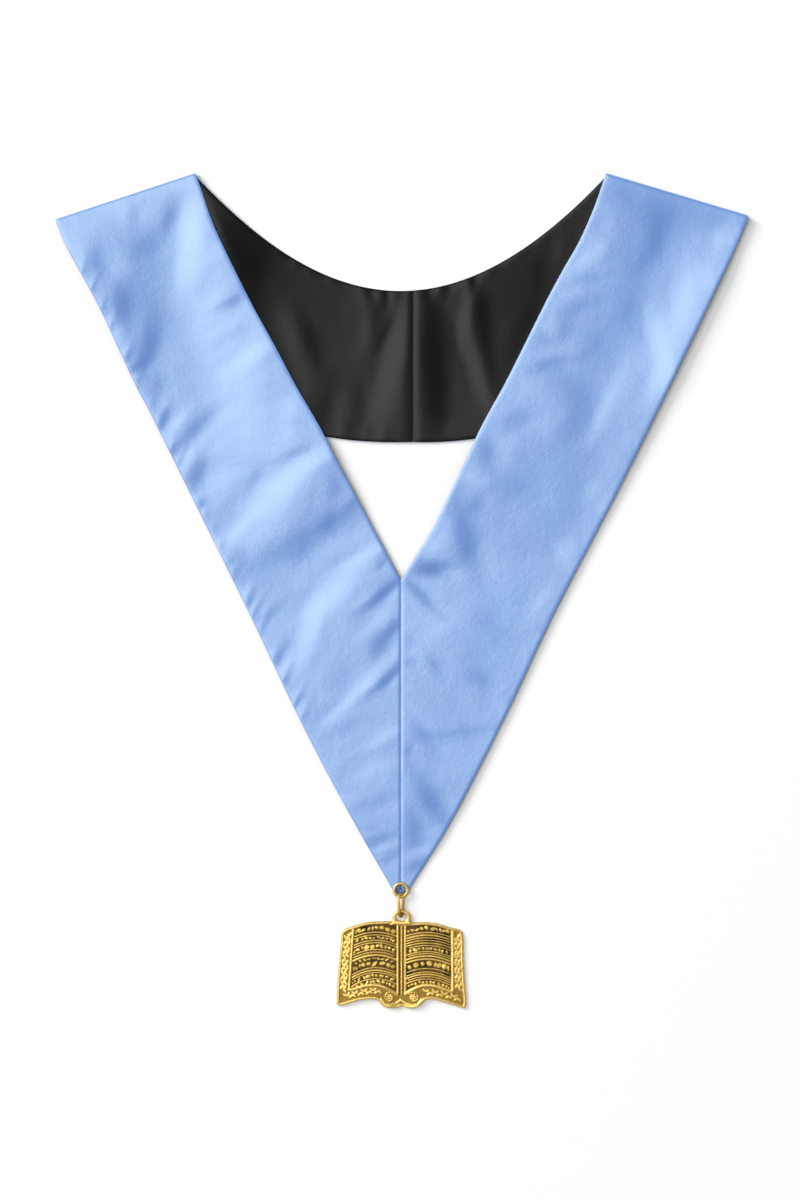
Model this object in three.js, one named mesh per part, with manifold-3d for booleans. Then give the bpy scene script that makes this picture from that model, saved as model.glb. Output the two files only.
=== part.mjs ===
// A ceremonial V-shaped ribbon collar as it is stored, lying flat. The neck half lies face down
// with its lining up, and both front straps are folded over it at the shoulders, face up, and
// meet in a seam that ends in a tip. A ring is sewn flat on the tip, and a cast jewel in the
// form of an open book hangs from it by a long link and lies below.
// Millimetres, +X to the right, +Y towards the neck, +Z up, with the cloth's face at Z = 0.

import * as THREE from 'three';
import { mergeVertices } from 'three/addons/utils/BufferGeometryUtils.js';
import Module from 'manifold-3d';

const wasm = await Module();
wasm.setup();

// The collar's pattern
const BAND_WIDTH = 100.8; // ribbon width, square across a front strap
const SHOULDER_SPAN = 282.9; // between the inner ends of the two shoulder folds
const FRONT_DROP = 280.4; // from the inner ends of the folds down to the front notch
const NECK_DROP = 80.4; // from the inner ends of the folds down to the neckline's lowest point
const NECK_BAND = 105; // height of the neck panel at the centre back
const BACK_SEAM_X = 8.1; // the centre back seam lies a little to the right of the notch
const FOLD_SLOPE_LEFT = 18.3; // degrees that the left shoulder fold falls outwards
const FOLD_SLOPE_RIGHT = 16.6;
const TIP_TRIM = 7.9; // the sewn tip stops this far short of where its two edges would meet
const NECK_EDGE_TURN = 7.4; // degrees that the neck panel's edge turns in from the strap's edge

// The cloth
const SATIN_WALL = 1.2;
const LINING_WALL = 1.0;
const LAYER_GAP = 0.3; // between the satin and the lining
const SEAM_GAP = 0.3; // between the two halves along a seam
const LINING_INSET = 0.7; // the satin shows this far beyond the lining
const FOLD_RADIUS = 0.8; // inside the shoulder fold, on the lining
const STRAP_CLEARANCE = 0.5; // between the neck panel and the strap that lies on it
const FOLD_EASE = 32; // the strap sinks from the fold's height to the panel over this length
const DRAPE_MARGIN = 7; // the strap stays up this far past the neck panel's edge
const DRAPE_REACH = 85; // and is down on the floor this much further out

// The ring, the link and the jewel's loop
const RING_OUTER = 11.1;
const RING_WIRE = 1.9;
const RING_SEAT = 2.0; // the ring's centre above the end of the tip
const RING_CLEARANCE = 0.3; // between the ring and the cloth under it
const LINK_LENGTH = 16.75;
const LINK_WIDTH = 7.3;
const LINK_WIRE = 1.6;
const LINK_TILT = 54; // degrees that the link's upper end is turned about its own length
const LINK_TWIST = 16; // and its lower end is turned this much more
const FLOOR_CLEARANCE = 0.05; // under the link's low side
const LINK_SLACK = 0.15; // between the link's bend and the ring's wire
const LOOP_SLACK = 1.2; // between the link's lower bend and the loop's bar
const LOOP_WIDTH = 12.2;
const LOOP_HOLE_WIDTH = 7.5;
const LOOP_HOLE_HEIGHT = 5.55;
const LOOP_BAR = 2.35;
const LOOP_THICKNESS = 1.7;
const LOOP_FOOT = 5; // the loop's foot runs this far onto the book
const LOOP_FOOT_SPREAD = 2.6; // and spreads this far past the loop on each side
const LOOP_HEIGHT = 2.75; // the middle of the loop's thickness above the floor

// The book
const BOOK_WIDTH = 89.5;
const BOOK_HEIGHT = 60.2;
const BOOK_THICKNESS = 2.9; // at the crown of a page, without the relief
const BOOK_X = 0.5; // the spine hangs a little to the right of the notch
const RELIEF = 0.55;
const RIM_WIDTH = 1.3;
const PAGE_INNER = 3.4; // from the spine to the first marks of a page
const PAGE_OUTER = 32.6; // from the spine to the last marks of a page
const PAGE_TOP = 23.6; // the first row's line above the book's middle
const PAGE_BOTTOM = -13.6; // the last row's line
const PAGE_FOOT = 7.6; // from the last row down to the page's foot at the spine
const ROW_COUNT = 11; // rows of plain ridges and dashes on each page
const ROW_RIDGE_WIDTH = 0.8;
const DASH_WIDTH = 1.25;
const ROW_ARCH = 2.4; // the rows fall this much from the page's crown to its sides
const FRAME_RIDGE = 1.1;
const FRAME_GAP = 1.9; // from the rows' ends out to the frame at the top of a page
const FRAME_SPREAD = 2.3; // and the frame leans out this much more down to its foot
const SPINE_RIDGE = 0.7;
const SPINE_RIDGE_X = 2.1;
const SPINE_BEAD = 1.5;
const SPINE_BEADS = 13;
const SCROLL_WIRE = 0.95;
const LEAF_LENGTH = 3.7;
const LEAF_WIDTH = 1.4;
const LEAVES_PER_SIDE = 7;

// How finely the cloth is faceted
const COLUMNS = [0, 0.05, 0.17, 0.3, 0.43, 0.56, 0.69, 0.82, 0.94, 1];
const NECK_STEPS = 9;
const FOLD_STEPS = 6;
const UPPER_STEPS = 17;
const LOWER_STEPS = 12;

// How far each strap edge bows away from a straight line: at = share of the edge's length from
// the shoulder, bow = share of the band's width, outwards
const INNER_BOW_LEFT = [
  { at: 0, bow: 0 }, { at: 0.03, bow: 0.012 }, { at: 0.066, bow: 0.029 }, { at: 0.115, bow: 0.046 },
  { at: 0.214, bow: 0.055 }, { at: 0.312, bow: 0.056 }, { at: 0.41, bow: 0.045 },
  { at: 0.509, bow: 0.04 }, { at: 0.62, bow: 0.021 }, { at: 0.71, bow: 0.021 },
  { at: 0.8, bow: 0.013 }, { at: 0.9, bow: 0.008 }, { at: 1, bow: 0 },
];
const INNER_BOW_RIGHT = [
  { at: 0, bow: 0 }, { at: 0.063, bow: 0.026 }, { at: 0.112, bow: 0.038 }, { at: 0.162, bow: 0.042 },
  { at: 0.22, bow: 0.032 }, { at: 0.3, bow: 0.026 }, { at: 0.5, bow: 0.029 },
  { at: 0.61, bow: 0.018 }, { at: 0.7, bow: 0.024 }, { at: 0.8, bow: 0.032 },
  { at: 0.85, bow: 0.037 }, { at: 0.9, bow: 0.028 }, { at: 1, bow: 0 },
];
const OUTER_BOW_LEFT = [
  { at: 0, bow: 0 }, { at: 0.03, bow: 0.011 }, { at: 0.117, bow: -0.003 }, { at: 0.234, bow: 0.016 },
  { at: 0.27, bow: 0.012 }, { at: 0.4, bow: 0.018 }, { at: 0.58, bow: 0.028 },
  { at: 0.7, bow: 0.044 }, { at: 0.79, bow: 0.045 }, { at: 0.85, bow: 0.036 },
  { at: 0.91, bow: 0.024 }, { at: 0.96, bow: 0.009 }, { at: 1, bow: 0 },
];
const OUTER_BOW_RIGHT = [
  { at: 0, bow: 0 }, { at: 0.033, bow: 0.013 }, { at: 0.12, bow: 0.026 }, { at: 0.237, bow: 0.039 },
  { at: 0.33, bow: 0.046 }, { at: 0.41, bow: 0.047 }, { at: 0.56, bow: 0.036 },
  { at: 0.62, bow: 0.042 }, { at: 0.7, bow: 0.055 }, { at: 0.79, bow: 0.057 },
  { at: 0.876, bow: 0.05 }, { at: 0.935, bow: 0.027 }, { at: 0.965, bow: 0.01 }, { at: 1, bow: 0 },
];

// Soft swells on the straps. down = along the strap from the shoulder, as a share of the inner
// edge; over = across from the inner edge, as a share of the band; length and width = half sizes
// as shares of the band, length along the strap before the turn in degrees; rise = share of it
const SWELLS_LEFT = [
  { down: 0.15, over: 0.12, length: 0.55, width: 0.16, turn: 8, rise: 0.009 },
  { down: 0.1, over: 0.5, length: 0.22, width: 0.26, turn: -10, rise: 0.0066 },
  { down: 0.19, over: 0.8, length: 0.2, width: 0.2, turn: 15, rise: 0.0072 },
  { down: 0.38, over: 0.72, length: 0.4, width: 0.22, turn: 12, rise: 0.0078 },
  { down: 0.45, over: 0.26, length: 0.22, width: 0.26, turn: -30, rise: 0.0084 },
  { down: 0.56, over: 0.7, length: 0.16, width: 0.3, turn: 18, rise: 0.0072 },
  { down: 0.755, over: 0.52, length: 0.3, width: 0.5, turn: 11, rise: 0.0135 },
  { down: 1.03, over: 0.46, length: 0.32, width: 0.46, turn: 27, rise: 0.012 },
  { down: 1.28, over: 0.6, length: 0.16, width: 0.36, turn: 16, rise: 0.0054 },
];
const SWELLS_RIGHT = [
  { down: 0.12, over: 0.22, length: 0.3, width: 0.18, turn: 0, rise: 0.0072 },
  { down: 0.16, over: 0.62, length: 0.34, width: 0.22, turn: 12, rise: 0.0072 },
  { down: 0.36, over: 0.34, length: 0.2, width: 0.26, turn: -12, rise: 0.0084 },
  { down: 0.42, over: 0.8, length: 0.46, width: 0.18, turn: 4, rise: 0.009 },
  { down: 0.62, over: 0.26, length: 0.2, width: 0.24, turn: 20, rise: 0.0078 },
  { down: 0.72, over: 0.68, length: 0.4, width: 0.24, turn: -8, rise: 0.0066 },
  { down: 0.86, over: 0.2, length: 0.26, width: 0.18, turn: -16, rise: 0.0108 },
  { down: 1.08, over: 0.5, length: 0.24, width: 0.4, turn: -24, rise: 0.0072 },
  { down: 1.3, over: 0.56, length: 0.16, width: 0.36, turn: -20, rise: 0.0054 },
];

// Soft folds in the lining that shows at the neck. over = share of half the shoulder span from
// the middle; up = share of the neck band above its lower edge at the centre back; width and
// height = half sizes as shares of the neck band; rise = share of it, turn in degrees
const NECK_FOLDS = [
  { over: 0.075, up: 0.48, width: 0.26, height: 0.62, turn: 0, rise: 0.03 },
  { over: 0.37, up: 0.62, width: 0.11, height: 0.42, turn: 12, rise: 0.016 },
  { over: -0.15, up: 0.8, width: 0.1, height: 0.3, turn: 0, rise: 0.012 },
  { over: -0.5, up: 0.72, width: 0.13, height: 0.44, turn: 22, rise: 0.014 },
  { over: -0.26, up: 0.2, width: 0.12, height: 0.3, turn: -8, rise: 0.012 },
];

// The book's outline, clockwise from its upper left corner: x = share of half its width from the
// spine, y = share of half its height
const BOOK_OUTLINE = [
  { x: -0.914, y: 0.753 }, { x: -0.94, y: 0.4 }, { x: -0.975, y: -0.15 }, { x: -1, y: -0.8 },
  { x: -0.995, y: -0.92 }, { x: -0.941, y: -0.937 }, { x: -0.659, y: -0.82 },
  { x: -0.43, y: -0.79 }, { x: -0.358, y: -0.83 }, { x: -0.286, y: -0.95 },
  { x: -0.199, y: -0.992 }, { x: -0.056, y: -0.99 }, { x: -0.01, y: -0.955 },
  { x: 0.085, y: -0.992 }, { x: 0.208, y: -0.99 }, { x: 0.297, y: -0.91 }, { x: 0.369, y: -0.81 },
  { x: 0.474, y: -0.79 }, { x: 0.65, y: -0.857 }, { x: 0.829, y: -0.937 }, { x: 0.96, y: -1 },
  { x: 0.992, y: -0.94 }, { x: 0.975, y: -0.4 }, { x: 0.955, y: 0.2 }, { x: 0.943, y: 0.673 },
  { x: 0.916, y: 0.78 }, { x: 0.74, y: 0.857 }, { x: 0.563, y: 0.937 }, { x: 0.387, y: 0.97 },
  { x: 0.199, y: 0.963 }, { x: 0.02, y: 0.95 }, { x: -0.15, y: 0.99 }, { x: -0.322, y: 0.99 },
  { x: -0.498, y: 0.977 }, { x: -0.677, y: 0.91 }, { x: -0.854, y: 0.82 },
];
// The book's section from the spine to a side: x = share of half its width, z = share of its
// thickness
const BOOK_SECTION = [
  { x: 0, z: 0.72 }, { x: 0.07, z: 0.78 }, { x: 0.18, z: 0.94 }, { x: 0.38, z: 1 },
  { x: 0.6, z: 0.96 }, { x: 0.8, z: 0.84 }, { x: 1.02, z: 0.62 },
];

const RADIANS = Math.PI / 180;
const CLOTH = SATIN_WALL + LAYER_GAP + LINING_WALL;
const FOLD_OUTER = CLOTH + FOLD_RADIUS; // radius of the satin's face round the fold
const STRAP_AT_FOLD = 2 * FOLD_OUTER - CLOTH; // a strap's underside where it leaves the fold
const STRAP_ON_NECK = CLOTH + STRAP_CLEARANCE;
const SATIN_LAYER = { outer: 0, inner: SATIN_WALL, inset: 0 };
const LINING_LAYER = { outer: SATIN_WALL + LAYER_GAP, inner: CLOTH, inset: LINING_INSET };

const HALF_ANGLE = Math.atan2(SHOULDER_SPAN / 2, FRONT_DROP);
const FRONT_EDGE = Math.hypot(SHOULDER_SPAN / 2, FRONT_DROP);
const TIP_Y = -BAND_WIDTH / Math.sin(HALF_ANGLE);
const TIP_END_Y = TIP_Y + TIP_TRIM;
const NECKLINE_LOW_Y = FRONT_DROP - NECK_DROP;
const NECK_LOW_Y = NECKLINE_LOW_Y - NECK_BAND;

function vector(x, y) {
  return new THREE.Vector2(x, y);
}

function mix(a, b, share) {
  return a + (b - a) * share;
}

function smooth(value) {
  const t = THREE.MathUtils.clamp(value, 0, 1);
  return t * t * (3 - 2 * t);
}

// A smooth curve through a table's rows, read at one place
function tableValue(rows, place, at, value) {
  let k = 0;
  while (k < rows.length - 2 && place > rows[k + 1][at]) {
    k += 1;
  }
  const slope = (i) => {
    const low = rows[Math.max(i - 1, 0)];
    const high = rows[Math.min(i + 1, rows.length - 1)];
    return (high[value] - low[value]) / (high[at] - low[at]);
  };
  const span = rows[k + 1][at] - rows[k][at];
  const t = THREE.MathUtils.clamp((place - rows[k][at]) / span, 0, 1);
  const rise = (1 - t) * (1 - t) * t * span;
  const fall = (1 - t) * t * t * span;
  return mix(rows[k][value], rows[k + 1][value], smooth(t)) + slope(k) * rise - slope(k + 1) * fall;
}

// A round swell of height 1 that is exactly 0 outside its ellipse
function swell(alongOffset, acrossOffset, halfLength, halfWidth) {
  const r2 = (alongOffset / halfLength) ** 2 + (acrossOffset / halfWidth) ** 2;
  return r2 < 1 ? (1 - r2) ** 2 : 0;
}

// One half of the collar: sign is -1 for the left half and 1 for the right
function collarHalf(sign, foldSlope, innerBow, outerBow, swells) {
  const slope = foldSlope * RADIANS;
  const along = vector(-sign * Math.sin(HALF_ANGLE), -Math.cos(HALF_ANGLE));
  const outward = vector(sign * Math.cos(HALF_ANGLE), -Math.sin(HALF_ANGLE));
  const foldLine = vector(sign * Math.cos(slope), -Math.sin(slope));
  const foldOut = vector(sign * Math.sin(slope), Math.cos(slope));
  const visibleCorner = vector(sign * SHOULDER_SPAN / 2, FRONT_DROP);
  const inner = visibleCorner.clone().addScaledVector(foldOut, -FOLD_OUTER);
  const foldLength = BAND_WIDTH / foldLine.dot(outward);
  const outer = inner.clone().addScaledVector(foldLine, foldLength);
  return { sign, along, outward, foldLine, foldOut, inner, outer, innerBow, outerBow, swells };
}

const LEFT = collarHalf(-1, FOLD_SLOPE_LEFT, INNER_BOW_LEFT, OUTER_BOW_LEFT, SWELLS_LEFT);
const RIGHT = collarHalf(1, FOLD_SLOPE_RIGHT, INNER_BOW_RIGHT, OUTER_BOW_RIGHT, SWELLS_RIGHT);

// The neckline, one curve from the left inner corner to the right one
const BEZIER_DEPTH = 0.75; // a symmetric curve reaches this share of its controls' depth
const NECKLINE_CONTROL_Y = FRONT_DROP - NECK_DROP / BEZIER_DEPTH;
const NECKLINE_CONTROL_X = 0.15 * SHOULDER_SPAN;
const NECKLINE = new THREE.CubicBezierCurve(
  LEFT.inner,
  vector(-NECKLINE_CONTROL_X, NECKLINE_CONTROL_Y),
  vector(NECKLINE_CONTROL_X, NECKLINE_CONTROL_Y),
  RIGHT.inner,
);

// The share along the neckline where it crosses a given x
function necklineShare(x) {
  let low = 0;
  let high = 1;
  for (let i = 0; i < 40; i += 1) {
    const middle = (low + high) / 2;
    if (NECKLINE.getPoint(middle).x < x) {
      low = middle;
    } else {
      high = middle;
    }
  }
  return (low + high) / 2;
}

// The neck panel's lower edge, from the centre back seam to the outer end of the fold
const EDGE_LEVEL_REACH = 0.336 * SHOULDER_SPAN; // how far the edge heads level from the seam
const EDGE_DIP = 0.03 * NECK_BAND;
const EDGE_CORNER_REACH = 1.38 * BAND_WIDTH; // how long its pull at the fold's end is

function neckEdge(half) {
  const turn = HALF_ANGLE + NECK_EDGE_TURN * RADIANS;
  const leaving = vector(-half.sign * Math.sin(turn), -Math.cos(turn));
  return new THREE.CubicBezierCurve(
    vector(BACK_SEAM_X + half.sign * SEAM_GAP / 2, NECK_LOW_Y),
    vector(half.sign * EDGE_LEVEL_REACH, NECK_LOW_Y - EDGE_DIP),
    half.outer.clone().addScaledVector(leaving, EDGE_CORNER_REACH),
    half.outer,
  );
}

const EDGE_SAMPLES = 40;
for (const half of [LEFT, RIGHT]) {
  half.neckEdge = neckEdge(half);
  half.edgePoints = half.neckEdge.getPoints(EDGE_SAMPLES);
}

// How far a point lies outside the neck panel's lower edge, negative on the panel
function pastNeckEdge(half, point) {
  let nearest = Infinity;
  let side = 1;
  for (let i = 0; i < EDGE_SAMPLES; i += 1) {
    const start = half.edgePoints[i];
    const run = half.edgePoints[i + 1].clone().sub(start);
    const offset = point.clone().sub(start);
    const t = THREE.MathUtils.clamp(offset.dot(run) / run.lengthSq(), 0, 1);
    const distance = offset.distanceTo(run.clone().multiplyScalar(t));
    if (distance < nearest) {
      nearest = distance;
      side = -half.sign * Math.sign(run.cross(offset)) || 1;
    }
  }
  return nearest * side;
}

// The height of a strap's underside above the floor
function strapHeight(half, point) {
  const offset = point.clone().sub(half.inner);
  const down = offset.dot(half.along);
  const over = offset.dot(half.outward);
  const fromFold = -offset.dot(half.foldOut);
  const past = pastNeckEdge(half, point) - DRAPE_MARGIN;
  let height = STRAP_ON_NECK * smooth(1 - past / DRAPE_REACH);
  height += (STRAP_AT_FOLD - STRAP_ON_NECK) * smooth(1 - fromFold / FOLD_EASE);
  for (const row of half.swells) {
    const dx = down - row.down * FRONT_EDGE;
    const dy = over - row.over * BAND_WIDTH;
    const cos = Math.cos(row.turn * RADIANS);
    const sin = Math.sin(row.turn * RADIANS);
    const halfLength = row.length * BAND_WIDTH;
    const halfWidth = row.width * BAND_WIDTH;
    const rise = row.rise * BAND_WIDTH * smooth(fromFold / FOLD_EASE);
    height += rise * swell(dx * cos + dy * sin, dy * cos - dx * sin, halfLength, halfWidth);
  }
  return height;
}

// The height of the neck panel's face above the floor
function neckHeight(point) {
  let height = 0;
  for (const row of NECK_FOLDS) {
    const dx = point.x - row.over * SHOULDER_SPAN / 2;
    const dy = point.y - NECK_LOW_Y - row.up * NECK_BAND;
    const cos = Math.cos(row.turn * RADIANS);
    const sin = Math.sin(row.turn * RADIANS);
    const halfWidth = row.width * NECK_BAND;
    const halfHeight = row.height * NECK_BAND;
    const across = dx * cos + dy * sin;
    const upward = dy * cos - dx * sin;
    height += row.rise * NECK_BAND * swell(upward, across, halfHeight, halfWidth);
  }
  return height;
}

// The stations of one half, from the centre back seam over the fold to the tip. Each station
// has its two ends in plan and a function that gives the height of a depth in the cloth,
// counted from the satin's face
function stations(half) {
  const list = [];
  const startShare = necklineShare(BACK_SEAM_X + half.sign * SEAM_GAP / 2);
  const endShare = half.sign < 0 ? 0 : 1;
  for (let i = 0; i < NECK_STEPS; i += 1) {
    const share = i / NECK_STEPS;
    const from = NECKLINE.getPoint(mix(startShare, endShare, share));
    const to = half.neckEdge.getPoint(share);
    list.push({ from, to, place: (point, depth) => [point.x, point.y, neckHeight(point) + depth] });
  }
  for (let i = 0; i <= FOLD_STEPS; i += 1) {
    const angle = Math.PI * i / FOLD_STEPS;
    const place = (point, depth) => {
      const radius = FOLD_OUTER - depth;
      const shifted = point.clone().addScaledVector(half.foldOut, radius * Math.sin(angle));
      return [shifted.x, shifted.y, FOLD_OUTER - radius * Math.cos(angle)];
    };
    list.push({ from: half.inner, to: half.outer, place });
  }
  const seamX = half.sign * SEAM_GAP / 2;
  const notch = vector(seamX, 0);
  const tip = vector(0, TIP_Y);
  const edgeLength = tip.clone().sub(half.outer).length();
  const footShare = notch.clone().sub(half.outer).dot(half.along) / edgeLength;
  const endOfEdge = 1 - (TIP_TRIM / Math.cos(HALF_ANGLE)) / edgeLength;
  const bowed = (start, end, share, rows) => {
    const bow = tableValue(rows, share, 'at', 'bow') * BAND_WIDTH;
    return start.clone().lerp(end, share).addScaledVector(half.outward, bow);
  };
  const place = (point, depth) => [point.x, point.y, strapHeight(half, point) + CLOTH - depth];
  for (let i = 1; i <= UPPER_STEPS; i += 1) {
    const share = i / UPPER_STEPS;
    const from = bowed(half.inner, notch, share, half.innerBow);
    const to = bowed(half.outer, tip, share * footShare, half.outerBow);
    list.push({ from, to, place });
  }
  for (let i = 1; i <= LOWER_STEPS; i += 1) {
    const share = i / LOWER_STEPS;
    const from = vector(seamX, TIP_END_Y * share);
    const to = bowed(half.outer, tip, mix(footShare, endOfEdge, share), half.outerBow);
    list.push({ from, to, place });
  }
  return list;
}

// Turns positions and triangles into a mesh whose faces point outwards
function closedGeometry(positions, triangles) {
  let volume = 0;
  for (const [a, b, c] of triangles) {
    const pa = new THREE.Vector3(...positions[a]);
    const pb = new THREE.Vector3(...positions[b]);
    const pc = new THREE.Vector3(...positions[c]);
    volume += pa.dot(pb.cross(pc));
  }
  const outwardFacing = volume > 0 ? triangles : triangles.map(([a, b, c]) => [a, c, b]);
  const geometry = new THREE.BufferGeometry();
  geometry.setAttribute('position', new THREE.Float32BufferAttribute(positions.flat(), 3));
  geometry.setIndex(outwardFacing.flat());
  geometry.computeVertexNormals();
  return geometry;
}

// One layer of cloth of one half: a closed wall between two depths
function clothWall(half, layer) {
  const rows = stations(half);
  const width = COLUMNS.length;
  const last = rows.length - 1;
  const positions = [];
  for (const depth of [layer.outer, layer.inner]) {
    rows.forEach((row, i) => {
      const run = row.to.clone().sub(row.from);
      const inset = layer.inset / run.length();
      let shift = vector(0, 0);
      if (i === 0 || i === last) {
        const inwards = i === 0 ? rows[1] : rows[last - 1];
        shift = inwards.from.clone().sub(row.from).setLength(layer.inset);
      }
      for (const column of COLUMNS) {
        const share = mix(inset, 1 - inset, column);
        const point = row.from.clone().addScaledVector(run, share).add(shift);
        positions.push(row.place(point, depth));
      }
    });
  }
  const index = (side, i, j) => side * rows.length * width + i * width + j;
  const triangles = [];
  const quad = (a, b, c, d) => triangles.push([a, b, c], [a, c, d]);
  for (let i = 0; i < last; i += 1) {
    for (let j = 0; j < width - 1; j += 1) {
      quad(index(0, i, j), index(0, i + 1, j), index(0, i + 1, j + 1), index(0, i, j + 1));
      quad(index(1, i, j), index(1, i, j + 1), index(1, i + 1, j + 1), index(1, i + 1, j));
    }
    quad(index(0, i, 0), index(1, i, 0), index(1, i + 1, 0), index(0, i + 1, 0));
    const end = width - 1;
    quad(index(0, i, end), index(0, i + 1, end), index(1, i + 1, end), index(1, i, end));
  }
  for (let j = 0; j < width - 1; j += 1) {
    quad(index(0, 0, j), index(0, 0, j + 1), index(1, 0, j + 1), index(1, 0, j));
    quad(index(0, last, j), index(1, last, j), index(1, last, j + 1), index(0, last, j + 1));
  }
  return closedGeometry(positions, triangles);
}

// A closed loop of round wire along a flat path in the XY plane
function wireLoop(path, wire, sides) {
  const positions = [];
  const triangles = [];
  const count = path.length;
  for (let i = 0; i < count; i += 1) {
    const run = path[(i + 1) % count].clone().sub(path[(i + count - 1) % count]).normalize();
    for (let k = 0; k < sides; k += 1) {
      const angle = 2 * Math.PI * k / sides;
      const out = wire / 2 * Math.cos(angle);
      const x = path[i].x + run.y * out;
      const y = path[i].y - run.x * out;
      positions.push([x, y, wire / 2 * Math.sin(angle)]);
      const next = (k + 1) % sides;
      const a = i * sides + k;
      const b = i * sides + next;
      const c = ((i + 1) % count) * sides + next;
      const d = ((i + 1) % count) * sides + k;
      triangles.push([a, b, c], [a, c, d]);
    }
  }
  return closedGeometry(positions, triangles);
}

const RING_SIDES = 6;
const RING_POINTS = 16;
const LINK_SIDES = 6;
const LINK_BEND_STEPS = 7;

function ringGeometry() {
  const radius = (RING_OUTER - RING_WIRE) / 2;
  const path = [];
  for (let i = 0; i < RING_POINTS; i += 1) {
    const angle = 2 * Math.PI * i / RING_POINTS;
    path.push(vector(radius * Math.cos(angle), radius * Math.sin(angle)));
  }
  return wireLoop(path, RING_WIRE, RING_SIDES);
}

function linkGeometry() {
  const radius = (LINK_WIDTH - LINK_WIRE) / 2;
  const straight = (LINK_LENGTH - LINK_WIDTH) / 2;
  const path = [];
  for (const end of [1, -1]) {
    for (let i = 0; i <= LINK_BEND_STEPS; i += 1) {
      const angle = Math.PI * i / LINK_BEND_STEPS;
      const x = end * radius * Math.cos(angle);
      path.push(vector(x, end * (straight + radius * Math.sin(angle))));
    }
  }
  return twisted(wireLoop(path, LINK_WIRE, LINK_SIDES), straight, LINK_TWIST * RADIANS);
}

// Turns a geometry about the Y axis, from nothing at the upper end of its straight part to the
// whole angle at the lower end
function twisted(geometry, straight, angle) {
  const position = geometry.getAttribute('position');
  const axis = new THREE.Vector3(0, 1, 0);
  const place = new THREE.Vector3();
  for (let i = 0; i < position.count; i += 1) {
    place.fromBufferAttribute(position, i);
    const share = Math.min(Math.max((straight - place.y) / (2 * straight), 0), 1);
    place.applyAxisAngle(axis, share * angle);
    position.setXYZ(i, place.x, place.y, place.z);
  }
  geometry.computeVertexNormals();
  return geometry;
}

// Places down the middle, from the tip to the book
const RING_RADIUS = (RING_OUTER - RING_WIRE) / 2;
const RING_Y = TIP_END_Y + RING_SEAT;
const RING_Z = CLOTH + RING_CLEARANCE + RING_WIRE / 2;
const LINK_TOP_Y = RING_Y - RING_RADIUS + (RING_WIRE + LINK_WIRE) / 2 + LINK_SLACK;
const LINK_LOW_Y = LINK_TOP_Y - LINK_LENGTH + LINK_WIRE;
const LOOP_HOLE_TOP_Y = LINK_LOW_Y + LINK_WIRE / 2 + LOOP_SLACK;
const LOOP_HOLE_Y = LOOP_HOLE_TOP_Y - LOOP_HOLE_HEIGHT / 2;
const BOOK_Y = LOOP_HOLE_TOP_Y - LOOP_HOLE_HEIGHT - BOOK_HEIGHT / 2;
const LINK_FOOT_TILT = (LINK_TILT + LINK_TWIST) * RADIANS;
const LINK_RISE = (LINK_WIDTH - LINK_WIRE) / 2 * Math.sin(LINK_FOOT_TILT);
const LINK_LOW_Z = LINK_WIRE / 2 + LINK_RISE + FLOOR_CLEARANCE;
const LINK_PITCH = Math.asin((RING_Z - LINK_LOW_Z) / (LINK_LENGTH - LINK_WIDTH));

// A three.js geometry as a solid that can be joined and cut, and back again
function toSolid(geometry) {
  const bare = geometry.clone();
  bare.deleteAttribute('normal');
  bare.deleteAttribute('uv');
  const merged = mergeVertices(bare, 1e-4);
  return new wasm.Manifold(new wasm.Mesh({
    numProp: 3,
    vertProperties: new Float32Array(merged.attributes.position.array),
    triVerts: new Uint32Array(merged.index.array),
  }));
}

function toGeometry(solid) {
  const mesh = solid.getMesh();
  const geometry = new THREE.BufferGeometry();
  geometry.setAttribute('position', new THREE.BufferAttribute(mesh.vertProperties, 3));
  geometry.setIndex(new THREE.BufferAttribute(mesh.triVerts, 1));
  geometry.computeVertexNormals();
  return geometry;
}

const RELIEF_FOOT = 0.6; // the relief's prisms start inside the book
const RELIEF_TOP = 9; // and end above everything

function prism(points, low, high) {
  const shape = new THREE.Shape(points);
  const geometry = new THREE.ExtrudeGeometry(shape, { depth: high - low, bevelEnabled: false });
  geometry.translate(0, 0, low);
  return toSolid(geometry);
}

// A ridge of even width along a line of points, with its ends drawn to a point
function ridge(points, width) {
  const count = points.length;
  const one = [];
  const other = [];
  points.forEach((point, i) => {
    const run = points[Math.min(i + 1, count - 1)].clone().sub(points[Math.max(i - 1, 0)]);
    const side = vector(run.y, -run.x).setLength(width / 2);
    one.push(point.clone().add(side));
    other.unshift(point.clone().sub(side));
  });
  return prism([...one, ...other], RELIEF_FOOT, RELIEF_TOP);
}

// A plain six-sided dash
function dash(x, y, length, width, turn) {
  const points = [[-0.5, 0], [-0.3, -0.5], [0.3, -0.5], [0.5, 0], [0.3, 0.5], [-0.3, 0.5]];
  const centre = vector(x, y);
  const origin = vector(0, 0);
  const turned = points.map(([u, v]) => {
    return vector(u * length, v * width).rotateAround(origin, turn).add(centre);
  });
  return prism(turned, RELIEF_FOOT, RELIEF_TOP);
}

function bookOutline(inset) {
  return BOOK_OUTLINE.map((row) => {
    return vector(row.x * (BOOK_WIDTH / 2 - inset), row.y * (BOOK_HEIGHT / 2 - inset));
  });
}

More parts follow.
